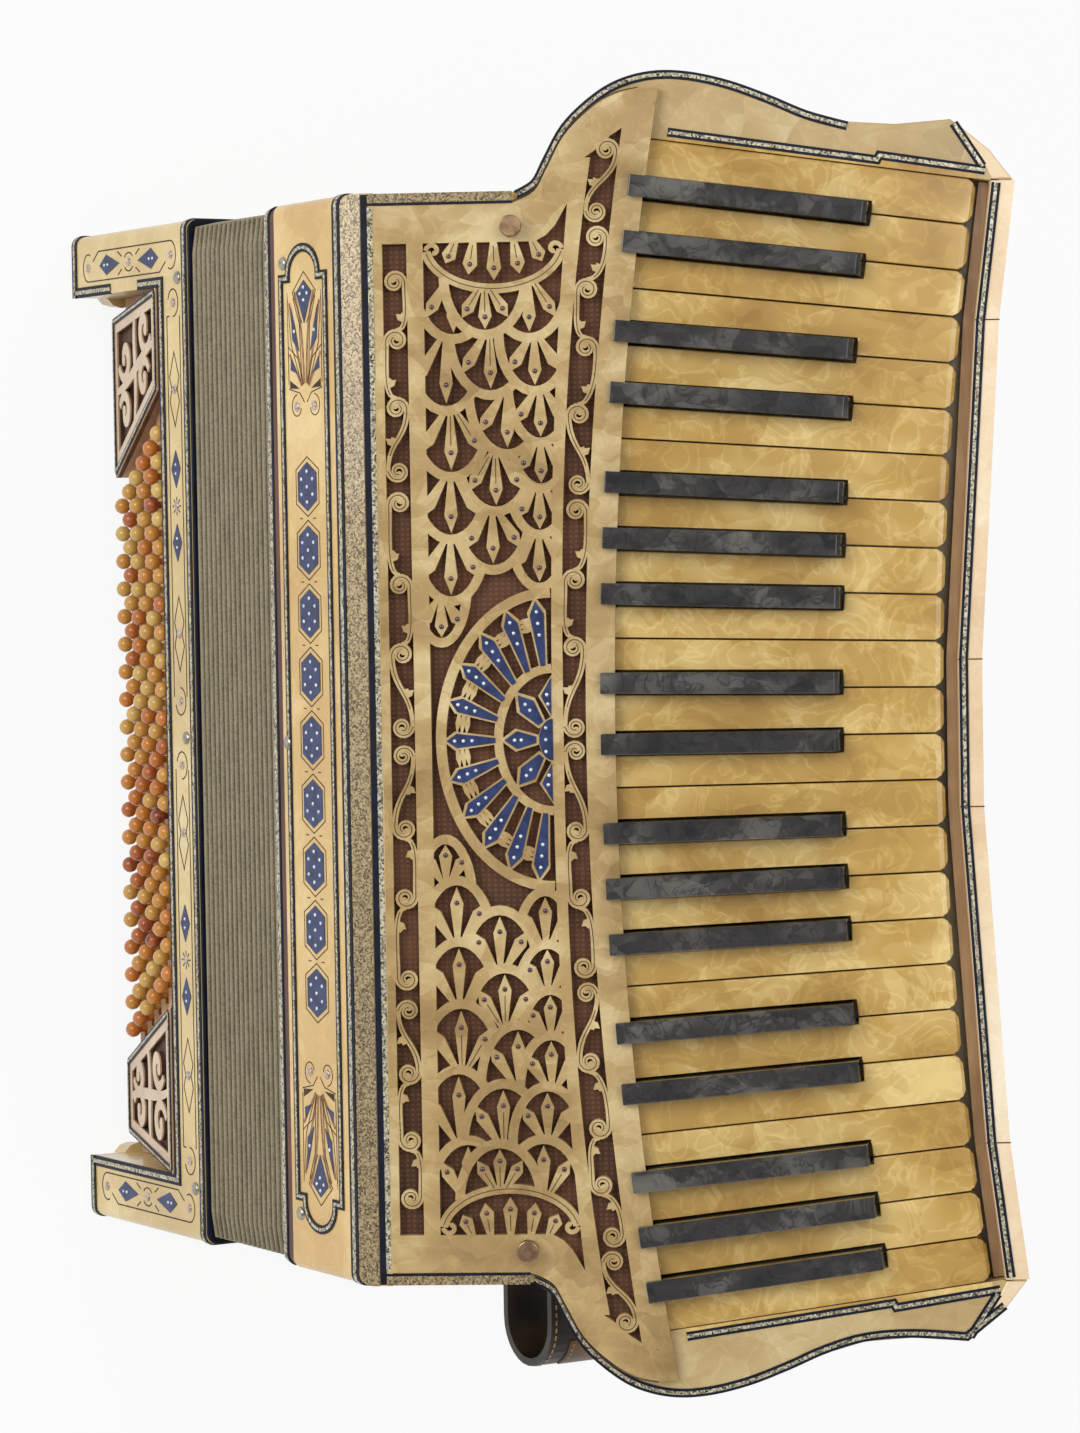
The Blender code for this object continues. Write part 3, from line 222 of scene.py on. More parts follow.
def pearl(name, dark, middle, light, size, rough=0.24, contrast=1.0, stain=None, shift=0.0, wisps=0.07):
    """Pearl celluloid: large and small shards and slow clouds between a dark and a light tone."""
    mat, tree, shader, place = blank(name, rough, coat=0.25)
    place = node(tree, "ShaderNodeVectorMath", {0: place, 1: (shift, 1.7 * shift, 0.6 * shift)}, operation="ADD").outputs[0]
    broad = silk(tree, place, size, (0.5, 0.3, 0.6))
    fine = silk(tree, place, size * 0.45, (-0.4, 0.7, -0.9))
    cloud = node(tree, "ShaderNodeTexNoise", {"Vector": place, "Scale": 0.45 / size, "Detail": 3.0}).outputs["Fac"]
    mixed = maths(tree, "ADD", maths(tree, "MULTIPLY", broad, 0.085 * contrast),
                  maths(tree, "MULTIPLY", fine, 0.055 * contrast))
    mixed = maths(tree, "ADD", mixed, maths(tree, "ADD", maths(tree, "MULTIPLY", cloud, 0.9), 0.05))
    swirl = node(tree, "ShaderNodeTexNoise", {"Vector": place, "Scale": 1.3 / size, "Detail": 3.0, "Distortion": 1.6})
    apart = maths(tree, "ABSOLUTE", maths(tree, "SUBTRACT", swirl.outputs["Fac"], 0.5))
    wisp = maths(tree, "MAXIMUM", maths(tree, "SUBTRACT", 1.0, maths(tree, "MULTIPLY", apart, 22.0)), 0.0)
    mixed = maths(tree, "ADD", mixed, maths(tree, "MULTIPLY", wisp, wisps))
    colour = ramp(tree, mixed, [(0.22, dark), (0.50, middle), (0.78, light)])
    if stain:
        patch = node(tree, "ShaderNodeTexNoise", {"Vector": place, "Scale": 9.0, "Detail": 5.0}).outputs["Fac"]
        amount = node(tree, "ShaderNodeMapRange", {"Value": patch, "From Min": 0.60, "From Max": 0.85, "To Max": 0.4})
        colour = node(tree, "ShaderNodeMix", {"Factor": amount.outputs[0], 6: colour, 7: (*stain, 1.0)},
                      data_type="RGBA").outputs[2]
    tree.links.new(colour, shader.inputs["Base Color"])
    sheen = node(tree, "ShaderNodeMapRange", {"Value": fine, "From Min": -1.0, "From Max": 1.0,
                                              "To Min": rough * 0.85, "To Max": rough * 1.25})
    tree.links.new(sheen.outputs[0], shader.inputs["Roughness"])
    bump(tree, shader, cloud, 0.0002, 0.4)
    return mat


def glitter(name, dark, light, flake, metal=0.55):
    """Flakes in clear lacquer, each catching the light its own way."""
    mat, tree, shader, place = blank(name, 0.32, metal, coat=0.3)
    cells = node(tree, "ShaderNodeTexVoronoi", {"Vector": place, "Scale": 1.0 / flake})
    value = node(tree, "ShaderNodeSeparateColor", {0: cells.outputs["Color"]})
    middle = tuple((a + b) / 2 for a, b in zip(dark, light))
    tree.links.new(ramp(tree, value.outputs[0], [(0.05, dark), (0.45, middle), (0.85, light)]),
                   shader.inputs["Base Color"])
    bump(tree, shader, value.outputs[1], flake * 0.35)
    return mat


def plain(name, colour, second, scale, rough, metal=0.0, coat=0.0, depth=0.00005, shine=0.5):
    """A finish with a slight mottle and a fine uneven surface."""
    mat, tree, shader, place = blank(name, rough, metal, coat, shine=shine)
    cloud = node(tree, "ShaderNodeTexNoise", {"Vector": place, "Scale": scale, "Detail": 4.0}).outputs["Fac"]
    tree.links.new(ramp(tree, cloud, [(0.35, colour), (0.65, second)]), shader.inputs["Base Color"])
    bump(tree, shader, cloud, depth, 0.6)
    return mat


def cloth(name, dark, light, thread):
    """Woven cloth with a visible thread."""
    mat, tree, shader, place = blank(name, 0.9)
    shader.inputs["Sheen Weight"].default_value = 0.25
    waves = []
    for direction in ("X", "Y"):
        waves.append(node(tree, "ShaderNodeTexWave", {"Vector": place, "Scale": 0.16 / thread, "Distortion": 0.6},
                          bands_direction=direction).outputs["Fac"])
    weave = maths(tree, "MULTIPLY", waves[0], waves[1])
    cloud = node(tree, "ShaderNodeTexNoise", {"Vector": place, "Scale": 24.0, "Detail": 5.0}).outputs["Fac"]
    mixed = maths(tree, "ADD", maths(tree, "MULTIPLY", weave, 0.4), maths(tree, "MULTIPLY", cloud, 0.7))
    tree.links.new(ramp(tree, mixed, [(0.25, dark), (0.75, light)]), shader.inputs["Base Color"])
    bump(tree, shader, weave, thread * 0.4)
    return mat


def bellows_finish(name):
    """Glitter cloth: pale on the crest of each fold as a painted highlight, dark in its valley as painted shade, with
    tired, browned patches.
    """
    mat, tree, shader, place = blank(name, 0.5, 0.15)
    fold = node(tree, "ShaderNodeAttribute", attribute_name="fold").outputs["Fac"]
    flakes = node(tree, "ShaderNodeTexVoronoi", {"Vector": place, "Scale": 1500.0})
    value = node(tree, "ShaderNodeSeparateColor", {0: flakes.outputs["Color"]})
    streak = node(tree, "ShaderNodeMapping", {"Vector": place, "Scale": (1.0, 1.0, 6.0)}).outputs[0]
    wear = node(tree, "ShaderNodeTexNoise", {"Vector": streak, "Scale": 40.0, "Detail": 5.0}).outputs["Fac"]
    # Painted light: the fold's crest height paints a highlight on each crest and shade in each valley; the flakes and
    # the wear add tone.
    shade = maths(tree, "ADD", maths(tree, "MULTIPLY", maths(tree, "POWER", fold, 1.6), 0.78),
                  maths(tree, "MULTIPLY", value.outputs[0], 0.22))
    shade = maths(tree, "ADD", shade, maths(tree, "MULTIPLY", maths(tree, "SUBTRACT", wear, 0.5), 0.5))
    base = ramp(tree, shade, [(0.05, srgb(32, 25, 17)), (0.45, srgb(88, 77, 55)), (0.95, srgb(154, 143, 114))])
    worn = node(tree, "ShaderNodeMapRange", {"Value": wear, "From Min": 0.58, "From Max": 0.80, "To Max": 0.5})
    colour = node(tree, "ShaderNodeMix", {"Factor": worn.outputs[0], 6: base, 7: (*srgb(104, 78, 58), 1.0)},
                  data_type="RGBA").outputs[2]
    tree.links.new(colour, shader.inputs["Base Color"])
    bump(tree, shader, value.outputs[1], 0.00012, 0.5)
    return mat


def wood_finish(name, dark, light):
    mat, tree, shader, place = blank(name, 0.5, coat=0.15)
    drawn = node(tree, "ShaderNodeMapping", {"Vector": place, "Scale": (0.12, 1.0, 1.0)}).outputs[0]
    grain = node(tree, "ShaderNodeTexNoise", {"Vector": drawn, "Scale": 160.0, "Detail": 5.0, "Distortion": 0.6})
    tree.links.new(ramp(tree, grain.outputs["Fac"], [(0.3, dark), (0.7, light)]), shader.inputs["Base Color"])
    bump(tree, shader, grain.outputs["Fac"], 0.0001, 0.6)
    return mat


def bead_finish(name):
    """Bakelite-like amber: every button takes its own shade, some of them red."""
    mat, tree, shader, place = blank(name, 0.24, coat=0.3)
    shade = node(tree, "ShaderNodeAttribute", attribute_name="shade").outputs["Fac"]
    cloud = node(tree, "ShaderNodeTexNoise", {"Vector": place, "Scale": 240.0, "Detail": 3.0}).outputs["Fac"]
    mixed = maths(tree, "ADD", maths(tree, "MULTIPLY", shade, 0.80), maths(tree, "MULTIPLY", cloud, 0.20))
    colour = ramp(tree, mixed, [(0.11, srgb(104, 42, 26)), (0.16, srgb(170, 88, 40)), (0.35, srgb(198, 120, 40)),
                                (0.60, srgb(200, 144, 60)), (0.85, srgb(208, 172, 90))])
    tree.links.new(colour, shader.inputs["Base Color"])
    bump(tree, shader, cloud, 0.00008, 0.5)
    return mat


def leather_finish(name, dark, light):
    """Leather with pores, rubbed paler where hands wear it."""
    mat, tree, shader, place = blank(name, 0.48, coat=0.08, coat_rough=0.3)
    pores = node(tree, "ShaderNodeTexVoronoi", {"Vector": place, "Scale": 900.0}, feature="DISTANCE_TO_EDGE")
    wear = node(tree, "ShaderNodeTexNoise", {"Vector": place, "Scale": 60.0, "Detail": 5.0}).outputs["Fac"]
    tree.links.new(ramp(tree, wear, [(0.35, dark), (0.72, light)]), shader.inputs["Base Color"])
    bump(tree, shader, pores.outputs["Distance"], 0.00025, 0.6)
    return mat


def finishes():
    """Every material of the instrument, made once."""
    if "body pearl" in bpy.data.materials:
        return
    pearl("body pearl", srgb(196, 155, 90), srgb(217, 181, 113), srgb(240, 212, 152), 0.040, contrast=0.7,
          stain=srgb(184, 134, 74))
    pearl("bass pearl", srgb(190, 161, 106), srgb(214, 187, 127), srgb(238, 217, 162), 0.045, contrast=0.6,
          stain=srgb(176, 132, 82))
    pearl("plate pearl", srgb(162, 134, 86), srgb(188, 162, 112), srgb(214, 194, 148), 0.030, contrast=0.9,
          stain=srgb(172, 120, 70))
    pearl("fretwork pearl", srgb(142, 114, 69), srgb(178, 149, 98), srgb(212, 190, 140), 0.022, contrast=0.9)
    pearl("rail pearl", srgb(216, 184, 142), srgb(234, 208, 170), srgb(246, 230, 202), 0.030, contrast=0.5)
    pearl("carving pearl", srgb(186, 148, 110), srgb(208, 174, 134), srgb(226, 200, 166), 0.014, contrast=0.6)
    for k in range(3):
        pearl(f"white key pearl {k + 1}", srgb(160, 120, 55), srgb(192, 155, 82), srgb(228, 200, 132), 0.026, 0.17, 0.8,
              shift=0.31 * k, wisps=0.11)
    pearl("black key pearl", srgb(20, 19, 19), srgb(48, 46, 45), srgb(98, 95, 90), 0.016, 0.16, 1.1, wisps=-0.14)
    glitter("silver glitter", srgb(62, 57, 47), srgb(214, 205, 176), 0.0008, 0.35)
    glitter("champagne glitter", srgb(82, 67, 46), srgb(180, 160, 120), 0.0007, 0.25)
    plain("navy edging", srgb(10, 13, 24), srgb(20, 26, 46), 120.0, 0.45, shine=0.2)
    plain("navy inlay", srgb(26, 38, 78), srgb(44, 60, 106), 200.0, 0.34, coat=0.1, shine=0.35)
    plain("engraved ink", srgb(46, 32, 20), srgb(74, 54, 34), 300.0, 0.7)
    plain("brown ink", srgb(120, 80, 44), srgb(164, 118, 70), 300.0, 0.5)
    plain("clear stone", srgb(186, 194, 206), srgb(236, 240, 246), 900.0, 0.10, 0.4, coat=0.5)
    plain("rose stone", srgb(128, 108, 100), srgb(212, 196, 186), 700.0, 0.16, 0.3, coat=0.5)
    plain("dark stone", srgb(40, 16, 22), srgb(84, 34, 44), 500.0, 0.08, coat=0.8)
    plain("nickel", srgb(140, 134, 126), srgb(184, 178, 168), 400.0, 0.30, 1.0)
    plain("dull brass", srgb(128, 100, 76), srgb(168, 138, 108), 300.0, 0.36, 0.9)
    cloth("grille cloth", srgb(72, 44, 29), srgb(116, 77, 52), 0.0011)
    bellows_finish("bellows cloth")
    wood_finish("board wood", srgb(172, 132, 98), srgb(208, 170, 132))
    # Rail wood: its tone is lightened past the wood's own as painted light, for the deep rail wall and the strip below,
    # which lie in shade.
    wood_finish("rail wood painted light", srgb(152, 116, 76), srgb(186, 148, 104))
    wood_finish("red wood", srgb(66, 34, 24), srgb(104, 58, 38))
    bead_finish("amber buttons")
    leather_finish("black leather", srgb(28, 22, 19), srgb(64, 50, 42))
    # Painted shade: dark brown for the openings and lower walls of the cheek carving.
    plain("carving painted shade", srgb(66, 43, 31), srgb(98, 68, 48), 90.0, 0.7)
    plain("waxed thread", srgb(150, 120, 84), srgb(190, 160, 120), 700.0, 0.6)
    leather_finish("brown leather", srgb(84, 56, 36), srgb(136, 98, 62))


def finish(name):
    finishes()
    return bpy.data.materials[name]


# Mesh helpers

def piece(name, bm, material, body, bevel=0.0, segments=2, smooth=False, weld=True):
    """Turn a bmesh into a finished piece that rides on a body."""
    if weld:
        bmesh.ops.remove_doubles(bm, verts=bm.verts, dist=1e-6)
    bmesh.ops.recalc_face_normals(bm, faces=bm.faces)
    for face in bm.faces:
        face.smooth = smooth
    mesh = bpy.data.meshes.new(name)
    bm.to_mesh(mesh)
    bm.free()
    mesh.materials.append(finish(material))
    obj = bpy.data.objects.new(name, mesh)
    bpy.context.scene.collection.objects.link(obj)
    if bevel:
        soften(obj, bevel, segments)
    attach(obj, body)
    return obj


def soften(obj, width, segments):
    rounding = obj.modifiers.new("Rounded edges", "BEVEL")
    rounding.width = width
    rounding.segments = segments
    rounding.limit_method = "ANGLE"
    rounding.angle_limit = radians(38)


def prism(bm, outline, low, high, place):
    lower = [bm.verts.new(place(a, b, low)) for a, b in outline]
    upper = [bm.verts.new(place(a, b, high)) for a, b in outline]
    bm.faces.new(list(reversed(lower)))
    bm.faces.new(upper)
    for i in range(len(outline)):
        j = (i + 1) % len(outline)
        bm.faces.new((lower[i], lower[j], upper[j], upper[i]))


def offsets(points, width, closed=False):
    """The two sides of a line of that width, mitred at its corners."""
    left, right = [], []
    count = len(points)
    for i, (x, y) in enumerate(points):
        before = points[i - 1] if i or closed else points[i]
        after = points[(i + 1) % count] if i < count - 1 or closed else points[i]
        a = Vector((x - before[0], y - before[1]))
        b = Vector((after[0] - x, after[1] - y))
        a = a.normalized() if a.length > 1e-9 else b.normalized()
        b = b.normalized() if b.length > 1e-9 else a
        along = (a + b).normalized() if (a + b).length > 1e-6 else a
        side = Vector((-along.y, along.x))
        square = Vector((-a.y, a.x))
        grow = width[i] / 2 if isinstance(width, (list, tuple)) else width / 2
        grow /= max(0.45, side.dot(square))
        left.append((x + side.x * grow, y + side.y * grow))
        right.append((x - side.x * grow, y - side.y * grow))
    return left, right


def stroke(points, width):
    """The outline of a line with the given width or widths."""
    left, right = offsets(points, width)
    return right + list(reversed(left))


def tape(bm, points, width, low, high, place, closed=False):
    """A flat tape that follows a line, standing from low to high."""
    left, right = offsets(points, width, closed)
    count = len(points)
    rows = []
    for (lx, ly), (rx, ry) in zip(left, right):
        rows.append([bm.verts.new(place(rx, ry, low)), bm.verts.new(place(lx, ly, low)),
                     bm.verts.new(place(lx, ly, high)), bm.verts.new(place(rx, ry, high))])
    for i in range(count if closed else count - 1):
        a, b = rows[i], rows[(i + 1) % count]
        for k in range(4):
            m = (k + 1) % 4
            bm.faces.new((a[k], b[k], b[m], a[m]))
    if not closed:
        bm.faces.new(rows[0])
        bm.faces.new(list(reversed(rows[-1])))


def inside(x, y, outline):
    crossings = False
    for (ax, ay), (bx, by) in zip(outline, outline[1:] + outline[:1]):
        if (ay > y) != (by > y) and x < ax + (y - ay) * (bx - ax) / (by - ay):
            crossings = not crossings
    return crossings


def clip(outline, keep):
    """The part of an outline on the side of a line where keep(x, y) is positive."""
    result = []
    for a, b in zip(outline, outline[1:] + outline[:1]):
        da, db = keep(*a), keep(*b)
        if da >= 0:
            result.append(a)
        if (da > 0 > db) or (da < 0 < db):
            t = da / (da - db)
            result.append((a[0] + (b[0] - a[0]) * t, a[1] + (b[1] - a[1]) * t))
    return result


class Region:
    """An outline with its bounds, to ask quickly whether a point is in it."""

    def __init__(self, outline):
        self.outline = outline
        xs, ys = [p[0] for p in outline], [p[1] for p in outline]
        self.bounds = (min(xs), max(xs), min(ys), max(ys))

    def holds(self, x, y):
        x0, x1, y0, y1 = self.bounds
        return x0 < x < x1 and y0 < y < y1 and inside(x, y, self.outline)


def fretted(bm, outlines, solid, low, high, place):
    """Cut a sheet along all the outlines and keep what solid(x, y) says, from low to high."""
    points, faces = [], []
    for outline in outlines:
        start = len(points)
        points.extend(Vector(point) for point in outline)
        faces.append(list(range(start, start + len(outline))))
    flat, _, triangles, _, _, _ = delaunay_2d_cdt(points, [], faces, 0, 1e-5, True)
    kept = [tri for tri in triangles
            if solid(sum(flat[i].x for i in tri) / 3, sum(flat[i].y for i in tri) / 3)]
    used = sorted({i for tri in kept for i in tri})
    lower = {i: bm.verts.new(place(flat[i].x, flat[i].y, low)) for i in used}
    upper = {i: bm.verts.new(place(flat[i].x, flat[i].y, high)) for i in used}
    edges = set()
    for tri in kept:
        bm.faces.new([upper[i] for i in tri])
        bm.faces.new([lower[i] for i in reversed(tri)])
        edges.update((tri[k], tri[(k + 1) % 3]) for k in range(3))
    for a, b in edges:
        if (b, a) not in edges:
            bm.faces.new((upper[b], upper[a], lower[a], lower[b]))


def ellipse(cx, cy, rx, ry, start=0.0, end=2 * pi, steps=24):
    return [(cx + rx * cos(start + (end - start) * k / steps), cy + ry * sin(start + (end - start) * k / steps))
            for k in range(steps + 1)]


def curl(cx, cy, outer, inner, start, turns, steps=26):
    """A spiral that winds inwards."""
    line = []
    for k in range(steps + 1):
        t = k / steps
        radius = outer + (inner - outer) * t ** 0.8
        angle = start + turns * 2 * pi * t
        line.append((cx + radius * cos(angle), cy + radius * sin(angle)))
    return line


def kite(root, tip, width, foot=0.24, shoulder=0.70):
    """A long diamond with its widest place near the tip."""
    root, tip = Vector(root), Vector(tip)
    along = tip - root
    side = Vector((-along.y, along.x)).normalized() * width / 2
    middle = root + along * shoulder
    return [tuple(p) for p in (root - side * foot, middle - side, tip, middle + side, root + side * foot)]


# Geometry Nodes

def new_tree(name, sockets):
    """An empty modifier tree with the named inputs and one geometry output."""
    tree = bpy.data.node_groups.new(name, "GeometryNodeTree")
    tree.is_modifier = True
    tree.interface.new_socket("Geometry", in_out="OUTPUT", socket_type="NodeSocketGeometry")
    for label, kind, value in sockets:
        made = tree.interface.new_socket(label, in_out="INPUT", socket_type="NodeSocket" + kind)
        if value is not None:
            made.default_value = value
    return tree, node(tree, "NodeGroupInput"), node(tree, "NodeGroupOutput")


def grown(name, tree, values, body, mesh=None):
    """Run a tree on a new object with these inputs, and keep its result as a plain mesh."""
    mesh = mesh or bpy.data.meshes.new(name + " points")
    maker = bpy.data.objects.new(name + " maker", mesh)
    bpy.context.scene.collection.objects.link(maker)
    modifier = maker.modifiers.new("Nodes", "NODES")
    modifier.node_group = tree
    sockets = {item.name: item.identifier for item in tree.interface.items_tree
               if item.item_type == "SOCKET" and item.in_out == "INPUT"}
    for label, value in values.items():
        modifier[sockets[label]] = value
    depsgraph = bpy.context.evaluated_depsgraph_get()
    result = bpy.data.meshes.new_from_object(maker.evaluated_get(depsgraph), depsgraph=depsgraph)
    bpy.data.objects.remove(maker, do_unlink=True)
    result.name = name
    obj = bpy.data.objects.new(name, result)
    bpy.context.scene.collection.objects.link(obj)
    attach(obj, body)
    return obj


def finish_tree(tree, geometry, out, finish_socket):
    """Close a tree the way every one ends: instances realised, material set."""
    real = node(tree, "GeometryNodeRealizeInstances", {0: geometry})
    painted = node(tree, "GeometryNodeSetMaterial", {"Geometry": real.outputs[0], "Material": finish_socket})
    tree.links.new(painted.outputs[0], out.inputs[0])


def studs_tree():
    """Small domes on the points of a mesh: buttons, stones and screw heads."""
    found = bpy.data.node_groups.get("Studs")
    if found:
        return found
    tree, source, out = new_tree("Studs", [
        ("Points", "Geometry", None), ("Radius", "Float", 0.001), ("Height", "Float", 0.5),
        ("Facets", "Int", 8), ("Rows", "Int", 5), ("Seed", "Int", 0), ("Turn", "Rotation", None),
        ("Finish", "Material", None)])
    ball = node(tree, "GeometryNodeMeshUVSphere", {"Segments": source.outputs["Facets"],
                                                   "Rings": source.outputs["Rows"],
                                                   "Radius": source.outputs["Radius"]})
    stretch = node(tree, "ShaderNodeCombineXYZ", {0: 1.0, 1: 1.0, 2: source.outputs["Height"]})
    flat = node(tree, "GeometryNodeTransform", {"Geometry": ball.outputs[0], "Scale": stretch.outputs[0]})
    smooth = node(tree, "GeometryNodeSetShadeSmooth", {"Geometry": flat.outputs[0]})
    copies = node(tree, "GeometryNodeInstanceOnPoints", {"Points": source.outputs["Points"],
                                                         "Instance": smooth.outputs[0],
                                                         "Rotation": source.outputs["Turn"]})
    chance = node(tree, "FunctionNodeRandomValue", {"Seed": source.outputs["Seed"]}, data_type="FLOAT")
    shaded = node(tree, "GeometryNodeStoreNamedAttribute", {"Geometry": copies.outputs[0], "Name": "shade",
                                                            "Value": chance.outputs[1]},
                  data_type="FLOAT", domain="INSTANCE")
    finish_tree(tree, shaded.outputs[0], out, source.outputs["Finish"])
    return tree


SLOPE_TURN = (SLOPE, 0.0, 0.0)
FRONT_TURN = (pi / 2, 0.0, 0.0)


def studs(name, places, radius, height, turn, material, body, facets=8, rows=5, seed=0):
    """Domes at these places, all facing the way that turn points +Z."""
    mesh = bpy.data.meshes.new(name + " points")
    mesh.from_pydata([tuple(place) for place in places], [], [])
    values = {"Radius": radius, "Height": height, "Facets": facets, "Rows": rows, "Seed": seed,
              "Turn": turn, "Finish": finish(material)}
    return grown(name, studs_tree(), values, body, mesh)


def bellows_tree():
    """Folded cloth: a zigzag profile swept round a rounded rectangle."""
    tree, source, out = new_tree("Bellows", [
        ("Width", "Float", 0.46), ("Depth", "Float", 0.19), ("Corner", "Float", 0.01), ("Height", "Float", 0.08),
        ("Folds", "Int", 17), ("Fold depth", "Float", 0.006), ("Centre", "Vector", None),
        ("Finish", "Material", None)])
    path = node(tree, "GeometryNodeCurvePrimitiveQuadrilateral", {"Width": source.outputs["Width"],
                                                                  "Height": source.outputs["Depth"]})
    rounded = node(tree, "GeometryNodeFilletCurve", {"Curve": path.outputs[0], "Count": 5, "Limit Radius": True,
                                                     "Radius": source.outputs["Corner"]}, mode="POLY")
    spaced = node(tree, "GeometryNodeResampleCurve", {"Curve": rounded.outputs[0], "Length": 0.012}, mode="LENGTH")
    spans = maths(tree, "MULTIPLY", source.outputs["Folds"], 8.0)
    dots = node(tree, "GeometryNodeMeshLine", {"Count": maths(tree, "ADD", spans, 1.0), "Offset": (0.0, 0.0, 0.0)})
    index = node(tree, "GeometryNodeInputIndex").outputs[0]
    share = maths(tree, "DIVIDE", index, spans)
    phase = maths(tree, "MULTIPLY", maths(tree, "DIVIDE", index, 8.0), 2 * pi)
    crest = maths(tree, "POWER", maths(tree, "ABSOLUTE", maths(tree, "SINE", maths(tree, "MULTIPLY", phase, 0.5))), 0.6)
    inward = maths(tree, "MULTIPLY", maths(tree, "SUBTRACT", crest, 1.0), source.outputs["Fold depth"])
    up = maths(tree, "MULTIPLY", share, source.outputs["Height"])
    down = maths(tree, "MULTIPLY", up, -1.0)
    spot = node(tree, "ShaderNodeCombineXYZ", {0: inward, 1: down, 2: 0.0})
    placed = node(tree, "GeometryNodeSetPosition", {"Geometry": dots.outputs[0], "Position": spot.outputs[0]})
    # The crest height is kept as 'fold', which the cloth uses for a painted highlight on crests and painted shade in
    # valleys.
    marked = node(tree, "GeometryNodeStoreNamedAttribute", {"Geometry": placed.outputs[0], "Name": "fold",
                                                            "Value": crest}, data_type="FLOAT", domain="POINT")
    profile = node(tree, "GeometryNodeMeshToCurve", {"Mesh": marked.outputs[0]})
    swept = node(tree, "GeometryNodeCurveToMesh", {"Curve": spaced.outputs[0], "Profile Curve": profile.outputs[0]})
    moved = node(tree, "GeometryNodeTransform", {"Geometry": swept.outputs[0],
                                                 "Translation": source.outputs["Centre"]})
    finish_tree(tree, moved.outputs[0], out, source.outputs["Finish"])
    return tree


# Fretwork

# Crowns of the fish-scale arches, as x from the middle, s and half width
ARCHES = (
    (0.1707, 0.0519, 0.0172), (0.1691, 0.0385, 0.0165), (0.1690, 0.0705, 0.0165), (0.1467, 0.0725, 0.0150),
    (0.1453, 0.0538, 0.0172), (0.1390, 0.0350, 0.0170), (0.1250, 0.0745, 0.0135), (0.1204, 0.0605, 0.0160),
    (0.1112, 0.0366, 0.0170), (0.1058, 0.0744, 0.0130), (0.0964, 0.0553, 0.0160), (0.0863, 0.0735, 0.0130),
    (0.0849, 0.0361, 0.0160), (0.0718, 0.0536, 0.0160), (0.0589, 0.0356, 0.0150), (0.0640, 0.0730, 0.0120),
    (0.0415, 0.0312, 0.0110))
ARCH_DEPTH = 0.0240
ARCH_BAND = 0.0041
CRESCENT = (0.2090, 0.0560, 0.0190, 0.0290)
END_X = 0.2095
INNER_RUNS = (((0.0062, 0.0368, 0.0660, 0.1005), 1), ((0.1140, 0.1405, 0.1690, 0.1935), -1))
OUTER_RUNS = (((0.0052, 0.0385, 0.0669, 0.0962), -1), ((0.1075, 0.1364, 0.1645, 0.1887, 0.2105), 1),
              ((0.2215, 0.2470), -1))


def inner_low(x):
    return 0.0090


def inner_high(x):
    return 0.0192


def field_high(x):
    """The outer bar's edge on the field's side."""
    return 0.0773 + 0.0083 * (abs(x) / 0.208) ** 2.3


def outer_low(x):
    """The outer bar's edge on the keyboard's side."""
    return 0.0820 + 0.0101 * (abs(x) / 0.208) ** 2.6


def outer_high(x):
    """The edge of the pearl border beside the keyboard."""
    return 0.0915 + 0.0190 * (x / 0.2546) ** 2


def bezier(a, b, c, d, steps=10):
    line = []
    for k in range(steps + 1):
        t = k / steps
        weights = ((1 - t) ** 3, 3 * t * (1 - t) ** 2, 3 * t * t * (1 - t), t ** 3)
        line.append(tuple(sum(w * p[i] for w, p in zip(weights, (a, b, c, d))) for i in (0, 1)))
    return line


def swelling(count, thin, thick, last):
    """Widths of a stroke that swells from thin to thick and tapers to the last."""
    widths = []
    for k in range(count):
        t = k / (count - 1)
        widths.append(thin + (thick - thin) * sin(pi * min(1.0, t * 1.7) / 2) if t < 0.6
                      else thick + (last - thick) * (t - 0.6) / 0.4)
    return widths


def scroll_run(centres, side, low, high):
    """A running scroll: each stem crosses the channel and curls up in the next bend."""
    strokes, lines = [], []
    for k in range(len(centres) - 1):
        start, end = centres[k], centres[k + 1]
        room = (high(end) - low(end)) / 2
        middle = (high(end) + low(end)) / 2
        radius = min(0.0043, room - 0.0007)
        border = middle - side * (room - 0.0009)
        first_middle = (high(start) + low(start)) / 2
        first_border = first_middle + side * (room - 0.0009)
        span = end - start
        if k == 0:
            path = bezier((start, first_border), (start + span * 0.50, first_border),
                          (end - span * 0.50, border), (end, border))
            opening = curl(start, first_border - side * radius, radius, 0.0013, side * pi / 2, side * 1.3, 18)
            strokes.append(stroke(opening, swelling(19, 0.0023, 0.0023, 0.0014)))
            strokes.append(ellipse(*opening[-1], 0.0014, 0.0014, steps=9)[:-1])
            lines.append(opening)
        else:
            rim = (start + radius, first_border - side * radius)
            path = bezier(rim, (rim[0], rim[1] - side * radius * 1.3), (end - span * 0.42, border), (end, border))
        spiral = curl(end, border + side * radius, radius, 0.0013, -side * pi / 2, side * 1.35, 20)
        line = path + spiral[1:]
        strokes.append(stroke(line, swelling(len(line), 0.0017, 0.0027, 0.0014)))
        strokes.append(ellipse(*spiral[-1], 0.0014, 0.0014, steps=9)[:-1])
        lines.append(line[2:-3])
        for place, tilt, reach in ((4, 0.95, 0.0046), (4, 0.35, 0.0036), (5, 1.75, 0.0030)):
            x, s = path[place]
            root = (x - 0.0006, s - side * 0.0004)
            strokes.append(kite(root, (x + reach * cos(tilt), s + side * reach * sin(tilt)), 0.0030, 0.45, 0.58))
        side = -side
    return strokes, lines


def mirrored(outlines):
    return [list(reversed([(-x, y) for x, y in outline])) for outline in outlines]


